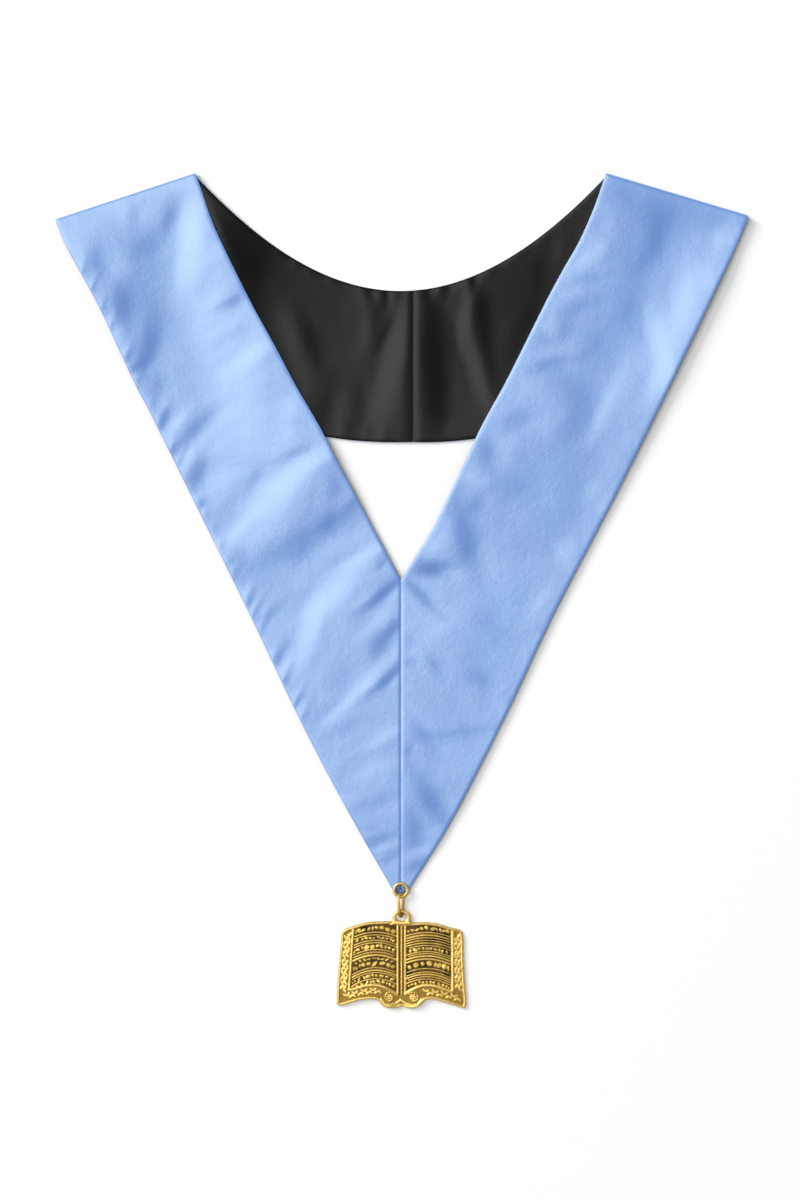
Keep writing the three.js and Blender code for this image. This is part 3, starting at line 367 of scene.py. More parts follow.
# The squared distance from a turned ellipse's middle, which is 1 on its line
def from_middle(dx, dy, half_length, half_width, turn):
    cos, sin = math.cos(math.radians(turn)), math.sin(math.radians(turn))
    return ((dx * cos + dy * sin) / half_length) ** 2 + ((dy * cos - dx * sin) / half_width) ** 2


# A swell of height 1 that is exactly 0 outside its ellipse
def swell(dx, dy, half_length, half_width, turn):
    r2 = from_middle(dx, dy, half_length, half_width, turn)
    return np.where(r2 < 1, (1 - np.minimum(r2, 1)) ** 2, 0.0)


# The height of a table of swells: places are shares of the two spans, sizes and rises of the unit
def swells_height(x, y, rows, x_span, y_span, unit):
    height = np.zeros(len(x))
    for at_x, at_y, half_length, half_width, turn, rise in rows:
        size = (half_length * unit, half_width * unit)
        height += rise * unit * swell(x - at_x * x_span, y - at_y * y_span, *size, turn)
    return height


# How far cloth leans towards the light at points, in degrees, by the patches of a chart, and how
# high it stands there: each patch has its full lean at its middle
def leaning(points, rows):
    leans = np.zeros(len(points))
    height = np.zeros(len(points))
    for x, y, half_length, half_width, turn, lean in rows:
        dx = points[:, 0] - x
        dy = points[:, 1] - y
        share = np.exp(-from_middle(dx, dy, half_length, half_width, turn) / PATCH_SOFTNESS)
        leans += lean * share
        along = dx * TOWARD_LIGHT[0] + dy * TOWARD_LIGHT[1]
        height -= math.tan(math.radians(lean)) * along * share
    return leans, height


# The same for narrow gathers that run in from an edge, each light on one side and dark on the
# other: the hump's factor gives a gather its full lean at its half width
def gathered(inside, along, rows):
    leans = np.zeros(len(along))
    height = np.zeros(len(along))
    for place, reach, half_width, lean in rows:
        across = (along - place) / half_width
        fade = np.clip(1 - inside / reach, 0, 1) ** GATHER_FADE
        hump = math.exp(0.5) * np.exp(-0.5 * across**2) * fade
        leans += lean * across * hump
        height -= math.tan(math.radians(lean)) * half_width * hump
    return leans, height


# Points of a cubic curve with four controls
def bezier(controls, shares):
    a, b, c, d = (np.array(p, dtype=float) for p in controls)
    t = np.asarray(shares, dtype=float)[:, None]
    return a * (1 - t) ** 3 + b * 3 * t * (1 - t) ** 2 + c * 3 * t * t * (1 - t) + d * t**3


# How far points lie from a line of straight runs, and whether each lies on its left
def from_line(points, line):
    nearest = np.full(len(points), np.inf)
    left = np.zeros(len(points), dtype=bool)
    for start, end in zip(line[:-1], line[1:]):
        run = end - start
        offset = points - start
        gap = offset - np.clip(offset @ run / (run @ run), 0, 1)[:, None] * run
        distance = np.hypot(gap[:, 0], gap[:, 1])
        closer = distance < nearest
        nearest = np.where(closer, distance, nearest)
        left = np.where(closer, run[0] * offset[:, 1] > run[1] * offset[:, 0], left)
    return nearest, left


# One half of the collar, in plan: sign is -1 for the left half and 1 for the right
class Half:
    def __init__(
        self, sign, fold_slope, inner_bow, outer_bow, swells, leans, seam_roll, pucker_share,
    ):
        slope = math.radians(fold_slope)
        self.sign = sign
        self.along = np.array([-sign * math.sin(HALF_ANGLE), -math.cos(HALF_ANGLE)])
        self.outward = np.array([sign * math.cos(HALF_ANGLE), -math.sin(HALF_ANGLE)])
        self.fold_line = np.array([sign * math.cos(slope), -math.sin(slope)])
        self.fold_out = np.array([sign * math.sin(slope), math.cos(slope)])
        corner = np.array([sign * SHOULDER_SPAN / 2, FRONT_DROP])
        self.inner = corner - self.fold_out * FOLD_OUTER
        fold_length = BAND_WIDTH / float(self.fold_line @ self.outward)
        self.outer = self.inner + self.fold_line * fold_length
        self.edge_length = float(np.hypot(*(np.array([0.0, TIP_Y]) - self.outer)))
        self.inner_bow = inner_bow
        self.outer_bow = outer_bow
        self.swells = swells
        self.leans = leans
        self.seam_roll = seam_roll
        chance = np.random.default_rng(PUCKER_SEED + sign)
        self.puckers = []
        for place in PUCKER_START + np.cumsum(chance.uniform(*PUCKER_SPACING, PUCKER_COUNT)):
            reach = chance.uniform(*PUCKER_REACH)
            half_width = chance.uniform(*PUCKER_HALF_WIDTH)
            lean = chance.uniform(*PUCKER_LEAN) * pucker_share
            self.puckers.append((place, reach, half_width, lean))
        turn = HALF_ANGLE + math.radians(NECK_EDGE_TURN)
        leaving = np.array([-sign * math.sin(turn), -math.cos(turn)])
        self.neck_edge = [
            (BACK_SEAM_X + sign * SEAM_HALF_GAP, NECK_LOW_Y),
            (sign * NECK_EDGE_RUN * SHOULDER_SPAN, NECK_LOW_Y - NECK_EDGE_SAG * NECK_BAND),
            self.outer + leaving * NECK_EDGE_REACH * BAND_WIDTH,
            self.outer,
        ]

    # How far points lie outside the neck panel's lower edge, negative on the panel
    def past_neck_edge(self, points):
        line = bezier(self.neck_edge, np.linspace(0, 1, NECK_EDGE_STEPS + 1))
        distance, left = from_line(points, line)
        return distance * np.where(left == (self.sign > 0), -1.0, 1.0)

    # The height of what a strap lies on: the neck panel, then down to the floor
    def strap_rest(self, points):
        past = self.past_neck_edge(points) - DRAPE_MARGIN
        return STRAP_ON_NECK * smooth(1 - past / DRAPE_REACH)

    # The height of a strap's underside above the floor
    def strap_height(self, points):
        offset = points - self.inner
        start = smooth(-(offset @ self.fold_out) / FOLD_EASE)
        down, over = offset @ self.along, offset @ self.outward
        swells = swells_height(down, over, self.swells, FRONT_EDGE, BAND_WIDTH, BAND_WIDTH)
        at_fold = (STRAP_AT_FOLD - STRAP_ON_NECK) * (1 - start)
        return self.strap_rest(points) + at_fold + SWELL_SHARE * start * swells

    # The lean of a strap's face in degrees and the height of its fine relief, which dies out on
    # the fold
    def strap_relief(self, points):
        from_fold = -((points - self.inner) @ self.fold_out)
        start = smooth(from_fold / RELIEF_START)
        above_tip = points[:, 1] - TIP_END_Y - TIP_FLAT
        leans, height = np.add(leaning(points, self.leans), self.puckered(points))
        loft = STRAP_LOFT * smooth(above_tip / TIP_FADE) * smooth(from_fold / LOFT_START)
        return leans, loft + start * height * smooth(above_tip / TIP_FLAT)

    # The lean and the height of the small puckers that run in from the outer edge
    def puckered(self, points):
        down = (points - self.outer) @ self.along
        bow = table_value(self.outer_bow, np.clip(down / self.edge_length, 0, 1))
        inside = BAND_WIDTH * (1 + bow) - (points - self.inner) @ self.outward
        return gathered(inside, down + PUCKER_SLANT * inside, self.puckers)


LEFT = Half(
    -1, FOLD_SLOPE_LEFT, INNER_BOW_LEFT, OUTER_BOW_LEFT, SWELLS_LEFT, LEANS_LEFT,
    SEAM_ROLL_LEFT, PUCKER_SHARE_LEFT,
)
RIGHT = Half(
    1, FOLD_SLOPE_RIGHT, INNER_BOW_RIGHT, OUTER_BOW_RIGHT, SWELLS_RIGHT, LEANS_RIGHT,
    SEAM_ROLL_RIGHT, PUCKER_SHARE_RIGHT,
)

# The neckline sinks to three quarters of the depth of its two middle controls
NECKLINE_CONTROL_X = 0.15 * SHOULDER_SPAN
NECKLINE_CONTROL_Y = FRONT_DROP - NECK_DROP / 0.75
NECKLINE = [
    LEFT.inner,
    (-NECKLINE_CONTROL_X, NECKLINE_CONTROL_Y),
    (NECKLINE_CONTROL_X, NECKLINE_CONTROL_Y),
    RIGHT.inner,
]


# How far along the neckline a place in x is
def neckline_share(x):
    shares = np.linspace(0, 1, 10 * NECKLINE_STEPS + 1)
    return float(np.interp(x, bezier(NECKLINE, shares)[:, 0], shares))


# The height of the neck panel's folds above its flat cloth
def neck_height(points):
    x, y = points.T
    half_span = SHOULDER_SPAN / 2
    folds = swells_height(x, y - NECK_LOW_Y, NECK_FOLDS, half_span, NECK_BAND, NECK_BAND)
    return NECK_FOLD_SHARE * folds


# The lean of the neck panel's face in degrees, and the height of its fine relief
def neck_relief(points):
    neckline = bezier(NECKLINE, np.linspace(0, 1, NECKLINE_STEPS + 1))
    below = np.interp(points[:, 0], neckline[:, 0], neckline[:, 1]) - points[:, 1]
    gathers = gathered(below, points[:, 0], NECK_GATHERS)
    leans, height = np.subtract(leaning(points, LEANS_NECK), gathers)
    for half in (LEFT, RIGHT):
        under_strap = (points - half.inner) @ half.outward
        height *= smooth(1 - under_strap / UNDER_STRAP_FADE)
    return leans, height


# Places from 0 to length, close together at the ends where the cloth rolls over
def spaced(length, step, roll):
    near = roll * (1 - np.cos(np.radians(ROLL_ANGLES)))
    count = max(2, int(round((length - 2 * roll) / step)))
    middle = np.linspace(roll, length - roll, count + 1)
    return np.concatenate([near[:-1], middle, length - near[:-1][::-1]])


# Points of a strap's edge from start to end, bowed outwards by a table
def bowed(half, start, end, shares, rows):
    line = start + (end - start) * shares[:, None]
    return line + half.outward * (table_value(rows, shares) * BAND_WIDTH)[:, None]


# The stations of one half, from the centre back seam over the fold to the tip: the two ends of
# each in plan, its angle round the fold, and how far the cloth's end is
def stations(half, step, roll):
    start_share = neckline_share(BACK_SEAM_X + half.sign * SEAM_HALF_GAP)
    end_share = 0.0 if half.sign < 0 else 1.0
    places = spaced(NECK_LENGTH, step, roll)
    places = places[places < NECK_LENGTH - roll]
    neck = places / NECK_LENGTH
    neck_from = bezier(NECKLINE, mix(start_share, end_share, neck))
    neck_to = bezier(half.neck_edge, neck)
    fold = np.linspace(0, math.pi, FOLD_STEPS + 1)
    fold_from = np.repeat(half.inner[None], len(fold), axis=0)
    fold_to = np.repeat(half.outer[None], len(fold), axis=0)
    seam_x = half.sign * SEAM_HALF_GAP
    notch = np.array([seam_x, 0.0])
    tip = np.array([0.0, TIP_Y])
    foot_share = float((notch - half.outer) @ half.along) / half.edge_length
    end_of_edge = 1 - (TIP_TRIM / math.cos(HALF_ANGLE)) / half.edge_length
    upper = np.linspace(0, 1, int(FRONT_EDGE / step) + 1)[1:]
    upper_from = bowed(half, half.inner, notch, upper, half.inner_bow)
    upper_to = bowed(half, half.outer, tip, upper * foot_share, half.outer_bow)
    seam_length = -TIP_END_Y
    lower = seam_length - spaced(seam_length, step, roll)[::-1]
    lower = np.sort(lower[lower > step / 2]) / seam_length
    lower_from = np.stack([np.full(len(lower), seam_x), TIP_END_Y * lower], axis=1)
    lower_to = bowed(half, half.outer, tip, mix(foot_share, end_of_edge, lower), half.outer_bow)
    starts = np.concatenate([neck_from, fold_from, upper_from, lower_from])
    ends = np.concatenate([neck_to, fold_to, upper_to, lower_to])
    straps = len(upper) + len(lower)
    angle = np.concatenate([np.full(len(neck), ON_NECK), fold, np.full(straps, ON_STRAP)])
    from_end = np.full(len(starts), FAR)
    from_end[: len(neck)] = places
    from_end[-len(lower):] = (1 - lower) * seam_length
    return starts, ends, angle, from_end


# How deep a face lies below the flat cloth, at a distance from an edge
def rolled(distance, roll, depth):
    return depth * np.clip(1 - distance / roll, 0, 1) ** ROLL_POWER


def make_mesh(name, points, quads):
    mesh = bpy.data.meshes.new(name)
    mesh.from_pydata((points * MM).tolist(), [], quads)
    mesh.update()
    mesh.polygons.foreach_set("use_smooth", [True] * len(mesh.polygons))
    piece = bpy.data.objects.new(name, mesh)
    bpy.context.scene.collection.objects.link(piece)
    return piece


# Places across a wall's hidden face near an edge, and how deep it lies there: the lining's
# closes up to the satin at their common edge
SATIN_TURN_IN = [(0.0, 1.0), (0.1, 1.15), (0.3, 1.2), (0.7, 1.2), (1.3, 1.2)]
LINING_TURN_IN = [(0.0, 1.23), (0.1, 1.3), (0.25, 1.42), (0.5, 1.5), (0.75, 1.5)]


# The two layers: the depths of the face that shows and of the hidden one below the satin's
# outside, which way is inward, the inset from the band's edge, and the roll at the edges
SATIN_LAYER = {
    "shown": 0.0, "hidden": SATIN_WALL, "inward": 1, "inset": 0.0, "step": SATIN_STEP,
    "roll": SATIN_ROLL, "roll_depth": SATIN_ROLL_DEPTH, "turn_in": SATIN_TURN_IN,
}
LINING_LAYER = {
    "shown": CLOTH, "hidden": CLOTH - LINING_WALL, "inward": -1, "inset": LINING_INSET,
    "step": LINING_STEP, "roll": LINING_ROLL, "roll_depth": LINING_ROLL_DEPTH,
    "turn_in": LINING_TURN_IN,
}
# A row narrower than this many rolls has its rolls drawn in
NARROWEST_ROLLS = 2.5


# A row's points on one face: how far each lies from the layer's edge, and how deep
def section(layer, template, wide, from_end, seam_roll, hidden):
    roll = layer["roll"]
    fit = min(1.0, wide / (NARROWEST_ROLLS * roll))
    edge = np.minimum(template, BAND_WIDTH - template)
    near = edge < roll - 1e-6
    first = near & (template < BAND_WIDTH / 2)
    last = near & ~first
    interior = (template - roll) / (BAND_WIDTH - 2 * roll)
    at = roll * fit + interior * (wide - 2 * roll * fit)
    if hidden:
        places, depths = np.array(layer["turn_in"]).T
        depth = np.full(len(at), layer["hidden"])
        at[first], at[last] = places * fit, wide - places[::-1] * fit
        depth[first], depth[last] = depths, depths[::-1]
        return at, depth
    at[first], at[last] = edge[first] * fit, wide - edge[last] * fit
    at_edge = rolled(np.minimum(at, wide - at), roll * fit, layer["roll_depth"])
    at_seam = rolled(from_end, seam_roll, SEAM_ROLL_DEPTH)
    return at, layer["shown"] + layer["inward"] * np.maximum(at_edge, at_seam)


# Where a row's points stand: their plan, height above the floor and leans. Only the upper face
# of the neck panel and of a strap may sink below the flat cloth.
def lifted(half, layer, plan, depth, angle, hidden):
    if angle == ON_NECK:
        leans, relief = neck_relief(plan)
        lift = softly_above(neck_height(plan) + relief, -THIN_BY)
        if hidden or layer["inward"] > 0:
            lift = np.maximum(lift, 0)
        return plan, lift + depth, leans
    if angle == ON_STRAP:
        rest = half.strap_rest(plan)
        leans, relief = half.strap_relief(plan)
        lift = softly_above(half.strap_height(plan) + relief - rest, -THIN_BY)
        if hidden or layer["inward"] < 0:
            lift = np.maximum(lift, 0)
        return plan, rest + lift + CLOTH - depth, leans
    leans = half.strap_relief(plan)[0] * max(-math.cos(angle), 0.0)
    radius = FOLD_OUTER - depth
    out = max(math.sin(angle), 0.0) ** FOLD_SQUARENESS
    plan = plan + half.fold_out * (radius * out)[:, None]
    return plan, FOLD_OUTER - radius * math.cos(angle), leans


# One layer of one half of the collar, as a closed wall. The face that shows keeps its leans
# towards the light in an attribute of the mesh, for the cloth's shader.
def cloth_layer(name, half, layer):
    starts, ends, angle, from_end = stations(half, layer["step"], layer["roll"])
    template = spaced(BAND_WIDTH, layer["step"], layer["roll"])
    run = ends - starts
    length = np.hypot(run[:, 0], run[:, 1])
    unit = run / length[:, None]
    points = []
    shine = []
    for hidden in (False, True):
        for i in range(len(starts)):
            wide = length[i] - 2 * layer["inset"]
            at, depth = section(layer, template, wide, from_end[i], half.seam_roll, hidden)
            plan = starts[i] + unit[i] * (at + layer["inset"])[:, None]
            plan, height, leans = lifted(half, layer, plan, depth, angle[i], hidden)
            points.append(np.column_stack([plan[:, 0] + PLAN_X, plan[:, 1] + PLAN_Y, height]))
            shine.append(np.zeros(len(at)) if hidden else np.tan(np.radians(leans)))
    shown, hidden = np.arange(2 * len(starts) * len(template)).reshape(2, len(starts), -1)
    quads = np.concatenate([np.stack([corner.ravel() for corner in wall], axis=1) for wall in (
        (shown[:-1, :-1], shown[1:, :-1], shown[1:, 1:], shown[:-1, 1:]),
        (hidden[:-1, :-1], hidden[:-1, 1:], hidden[1:, 1:], hidden[1:, :-1]),
        (shown[:-1, 0], hidden[:-1, 0], hidden[1:, 0], shown[1:, 0]),
        (shown[:-1, -1], shown[1:, -1], hidden[1:, -1], hidden[:-1, -1]),
        (shown[0, :-1], shown[0, 1:], hidden[0, 1:], hidden[0, :-1]),
        (shown[-1, :-1], hidden[-1, :-1], hidden[-1, 1:], shown[-1, 1:]),
    )])
    if half.sign * layer["inward"] > 0:
        quads = quads[:, ::-1]
    piece = make_mesh(name, np.concatenate(points), quads.tolist())
    shine = np.concatenate(shine)[:, None] * (*TOWARD_LIGHT, 0.0)
    attribute = piece.data.attributes.new("lean", "FLOAT_VECTOR", "POINT")
    attribute.data.foreach_set("vector", shine.astype(np.float32).ravel())
    return piece


# The book's outline, clockwise from its upper left corner, as shares of half its width and of
# half its height, as in the part
BOOK_OUTLINE = [
    (-0.914, 0.753), (-0.94, 0.4), (-0.975, -0.15), (-1, -0.8), (-0.995, -0.92),
    (-0.941, -0.937), (-0.659, -0.82), (-0.43, -0.79), (-0.358, -0.83), (-0.286, -0.95),
    (-0.199, -0.992), (-0.056, -0.99), (-0.01, -0.955), (0.085, -0.992), (0.208, -0.99),
    (0.297, -0.91), (0.369, -0.81), (0.474, -0.79), (0.65, -0.857), (0.829, -0.937),
    (0.96, -1), (0.992, -0.94), (0.975, -0.4), (0.955, 0.2), (0.943, 0.673), (0.916, 0.78),
    (0.74, 0.857), (0.563, 0.937), (0.387, 0.97), (0.199, 0.963), (0.02, 0.95),
    (-0.15, 0.99), (-0.322, 0.99), (-0.498, 0.977), (-0.677, 0.91), (-0.854, 0.82),
]
# The rows of that table where the outline's sides meet
LOWER_LEFT, LOWER_RIGHT, UPPER_RIGHT = 4, 20, 25

# The book's section from the spine to a side: share of half its width, share of its thickness
BOOK_SECTION = [
    (0, 0.72), (0.07, 0.78), (0.18, 0.94), (0.38, 1), (0.6, 0.96), (0.8, 0.84), (1.02, 0.62),
]

# Spacing of the cast face's points, the outline's points from row to row, the level where its
# side ends, how much the back draws in, the raised rim, and how far in the edge is rounded
BOOK_STEP = 0.28
OUTLINE_STEPS = 6
BOOK_FOOT = 0.35
FOOT_SHRINK = 0.992
RIM_WIDTH = 2.0
RIM_RISE = 0.7
EDGE_ROUND = 0.9
BOOK_SEED = 11

# The rows of a page from its head: height where the page arches highest, half width, kind of
# row, and the pitch of its dashes or beads
LEFT_ROWS = [
    (25.3, 1.2, "beads", 3.6), (22.4, 0.45, "line", 0), (20.6, 0.4, "dashes", 5.2),
    (18.8, 0.9, "beads", 3.2), (16.8, 0.42, "line", 0), (15.2, 0.45, "line", 0),
    (12.8, 1.2, "beads", 3.5), (10.5, 0.42, "dashes", 4.6), (8.7, 0.42, "dashes", 6.0),
    (6.7, 0.75, "line", 0), (4.3, 0.7, "beads", 2.9), (0.9, 1.5, "beads", 4.1),
    (-2.0, 0.4, "dashes", 7.0), (-3.8, 0.6, "line", 0), (-5.4, 0.4, "dashes", 5.0),
    (-7.5, 0.95, "beads", 3.3), (-9.6, 0.45, "line", 0), (-11.7, 0.95, "beads", 3.5),
]
RIGHT_ROWS = [
    (25.0, 1.15, "beads", 3.8), (22.2, 0.42, "line", 0), (20.3, 0.6, "dashes", 3.6),
    (18.6, 0.42, "line", 0), (16.8, 0.42, "line", 0), (15.0, 0.45, "line", 0),
    (13.2, 0.4, "dashes", 6.4), (11.2, 0.9, "beads", 3.2), (9.1, 0.42, "line", 0),
    (7.7, 0.36, "dashes", 4.0), (6.0, 0.6, "line", 0), (3.9, 0.6, "dashes", 3.0),
    (0.6, 1.5, "beads", 4.3), (-2.6, 0.4, "dashes", 4.4), (-5.0, 0.4, "line", 0),
    (-6.6, 0.55, "line", 0), (-8.3, 0.4, "dashes", 3.4), (-9.9, 0.42, "line", 0),
    (-12.0, 0.95, "beads", 3.2),
]

# Where a page's rows begin beside the spine, its head and foot, where a row is highest and how
# far it drops from there, a line's rise, how much wider the rows are made, the space left at
# their ends, and the shortest mark there
PAGE_INNER = 3.7
PAGE_HEAD_Y = 26.0
PAGE_FOOT_Y = -19.0
PAGE_CROWN = 17.5
ARCH_AT_HEAD = 3.0
ARCH_AT_FOOT = 4.6
LINE_RISE = 0.55
ROW_SPREAD = 1.2
ROW_END_GAP = 0.4
SHORTEST_MARK = 0.6

# The ranges of chance for a row's marks: the first one's start, the marks' spacing and length as
# shares of the pitch, a bead's turn in radians, its half width and its offset as shares of the
# row's half width, its rise, and the share of beads that are leaves
MARK_START = (0.0, 0.4)
MARK_SPACING = (0.5, 1.25)
MARK_LENGTH = (0.8, 1.15)
BEAD_TURN = (-0.9, 0.9)
BEAD_WIDTH = (0.7, 1.35)
BEAD_OFFSET = (-0.3, 0.3)
BEAD_RISE = (0.35, 0.72)
LEAF_SHARE = 0.5

# How the loop, a ridge and a mound are rounded, how the loop's foot eases out, a leaf's point and
# the crease down its middle, and how many points the lines of the ornament have
LOOP_ROUNDING = 0.7
LOOP_FOOT_EASE = 0.3
RIDGE_ROUNDING = 0.7
MOUND_ROUNDING = 0.6
LEAF_POINT = 1.5
CREASE_DEPTH = 0.35
CREASE_WIDTH = 0.22
LINE_POINTS = 14
DASH_POINTS = 5
FOOT_POINTS = 30
STEM_POINTS = 60
SCROLL_POINTS = 34

# The half width and the height of each ridge of the frame, the lip, the border's stem and the
# scrolls, and where the frame runs beside the spine
SIDE_RISE = 0.62
FOOT_RIDGE = (1.3, 0.72)
SPINE_RIDGE = (0.95, 0.6)
LIP_RIDGE = (1.25, 0.7)
STEM_RIDGE = (0.36, 0.45)
SCROLL_RIDGE = (0.5, 0.55)
SPINE_FRAME = [(2.55, 26.8), (2.55, -20.8)]

# The twisted line down the spine: its ends and pitch, and each bead's half length, half width,
# turn and height
TWIST_RUN = (-20.4, 26.6, 0.95)
TWIST_X = 0.1
TWIST_BEAD = (0.95, 0.45, 0.5, 0.62)

# Each border's name, half width and count of leaf pairs; how far its stem waves, where a pair
# starts and how wide a leaf is, as shares of that half width; the range of a leaf's length, and
# each leaf's turn from the stem and its place ahead as a share of its length
BORDERS = [("side_border", 2.6, 13), ("lower_border", 2.3, 8)]
STEM_WAVE = 0.42
LEAF_PLACE = 0.4
LEAF_WIDTH = 0.45
LEAF_LENGTH = (0.7, 0.95)
LEAF_RISE = 0.6
LEAF_TURNS = [(0.75, 0.6), (2.6, -0.6)]

# How bright the border's ground, the loop and plain wire are, from 0 in the rows' recesses to 1
# on their tops
BORDER_SHINE = 0.24
PLAIN_SHINE = 0.85
# The ring's lower end is a little darker, and the link's lower end is painted shade where it runs
# down into the book's loop
RING_LOW_SHINE = 0.7
LINK_PAINTED_SHADE_LEVEL = 0.3

# Where a wire loop's lower end begins and how gradually, as shares of the loop's reach
LOW_END_START = 0.55
LOW_END_RUN = 0.8

# The lines of the ornament on each half, as places from the spine and heights: the side of the
# page's frame, its arched foot, and the middles of the side border and of the lower border
LEFT_PAGE = {
    "sign": -1,
    "rows": LEFT_ROWS,
    "outer": (32.2, 35.2),
    "side_width": 1.05,
    "side": [(33.3, 24.6), (34.7, 4.0), (36.2, -17.0)],
    "foot": [
        (36.2, -17.4), (31.0, -16.4), (26.0, -14.8), (20.6, -13.9), (15.6, -14.3),
        (11.2, -15.8), (7.0, -18.2), (3.0, -20.6),
    ],
    "side_border": [(36.9, 20.6), (37.8, 12.0), (38.6, 2.0), (39.4, -8.0), (40.2, -18.0)],
    "lower_border": [(38.6, -22.0), (33.0, -20.4), (27.0, -19.0), (21.0, -18.0), (14.6, -17.9)],
}
RIGHT_PAGE = {
    "sign": 1,
    "rows": RIGHT_ROWS,
    "outer": (33.8, 33.8),
    "side_width": 1.5,
    "side": [(35.3, 22.6), (35.4, 4.0), (35.4, -16.6), (34.6, -18.6)],
    "foot": [
        (35.0, -19.0), (30.0, -17.0), (25.6, -15.4), (20.4, -14.2), (15.4, -14.2),
        (11.2, -15.4), (7.0, -17.4), (3.6, -19.6),
    ],
    "side_border": [(38.6, 19.4), (38.8, 8.0), (39.1, -4.0), (39.6, -17.0)],
    "lower_border": [(40.6, -23.6), (35.0, -22.0), (29.0, -20.6), (22.0, -19.2), (15.4, -18.7)],
}

# The middle and reach of a scroll, its coil in degrees, and the petals round its eye
SCROLL_X = 8.2
SCROLL_Y = -22.5
SCROLL_RADIUS = 3.9
SCROLL_START = 60
SCROLL_TURN = 380
SCROLL_CLOSING = 0.45
PETAL_COUNT = 7
PETAL_START = 15
PETAL_STEP = 51.4
PETAL_REACH = 1.6
PETAL_SIZE = (1.15, 0.6)
PETAL_RISE = 0.62
EYE_SIZE = 0.7
EYE_RISE = 0.66

# The lip that runs below both scrolls
LIP = [
    (-13.8, -24.0), (-11.6, -27.0), (-7.6, -28.0), (-3.6, -26.8), (-0.3, -24.4),
    (3.4, -27.0), (7.6, -28.2), (11.6, -27.2), (14.4, -24.0),
]

# Where the recesses are almost black: x, y, half length, half width, turn, strength
TARNISH = [
    (14, 25.4, 4, 3, 0, 1.0), (24, 24.0, 6, 3, -10, 0.9), (21, 17.5, 8, 4, 5, 1.0),
    (31, 11.0, 5, 8, 0, 1.0), (17, 11.0, 7, 3, 10, 0.6), (29, 19.0, 6, 5, -15, 0.9),
    (5, -3.5, 3.5, 7, 0, 1.0), (16, 0.0, 7, 4, 0, 0.7), (32.5, -4.5, 4, 6, 0, 1.0),
    (-25, 25.2, 5, 3, 0, 0.9), (-19, 20.6, 7, 3, 0, 0.6), (-30, -6.0, 6, 6, 0, 0.5),
    (19, -10.5, 6, 3, 0, 0.7), (-17, 3.6, 6, 3, 0, 0.5), (-8, 12.0, 6, 8, 0, 0.4),
    (41.5, -2.5, 2, 2, 0, 1.0),
]

# Places down the middle, from the tip to the book, as in the part, and the link's height and
# pitch with its thicker lower end
RING_RADIUS = (RING_OUTER - RING_WIRE) / 2
RING_Y = TIP_END_Y + RING_SEAT
RING_Z = CLOTH + RING_CLEARANCE + RING_WIRE / 2
LINK_TOP_Y = RING_Y - RING_RADIUS + (RING_WIRE + LINK_WIRE) / 2 + LINK_SLACK
LINK_LOW_Y = LINK_TOP_Y - LINK_LENGTH + LINK_WIRE
LOOP_HOLE_TOP_Y = LINK_LOW_Y + LINK_WIRE / 2 + LOOP_SLACK
LOOP_HOLE_Y = LOOP_HOLE_TOP_Y - LOOP_HOLE_HEIGHT / 2
BOOK_Y = LOOP_HOLE_TOP_Y - LOOP_HOLE_HEIGHT - BOOK_HEIGHT / 2
LINK_RISE = (LINK_WIDTH - LINK_WIRE) / 2 * math.sin(math.radians(LINK_TILT + LINK_TWIST))
LINK_LOW_Z = LINK_WIRE * LINK_SWELL / 2 + LINK_RISE + FLOOR_CLEARANCE
LINK_PITCH = math.asin((RING_Z - LINK_LOW_Z) / (LINK_LENGTH - LINK_WIDTH))


# A smooth closed line through a few points
def smooth_loop(points, steps):
    points = np.array(points, dtype=float)
    line = []
    for i in range(len(points)):
        before, start, end, after = (points[(i + k) % len(points)] for k in (-1, 0, 1, 2))
        t1 = math.sqrt(np.hypot(*(start - before)))
        t2 = t1 + math.sqrt(np.hypot(*(end - start)))
        t3 = t2 + math.sqrt(np.hypot(*(after - end)))
        for t in np.linspace(t1, t2, steps, endpoint=False):
            a1 = mix(before, start, t / t1)
            a2 = mix(start, end, (t - t1) / (t2 - t1))
            a3 = mix(end, after, (t - t2) / (t3 - t2))
            b1 = mix(a1, a2, t / t2)
            b2 = mix(a2, a3, (t - t1) / (t3 - t1))
            line.append(mix(b1, b2, (t - t1) / (t2 - t1)))
    return np.array(line)


# Points of a line at shares of its length
def along_line(line, shares):
    run = np.concatenate([[0], np.cumsum(np.hypot(*np.diff(line, axis=0).T))])
    at = np.asarray(shares) * run[-1]
    return np.stack([np.interp(at, run, line[:, 0]), np.interp(at, run, line[:, 1])], axis=1)


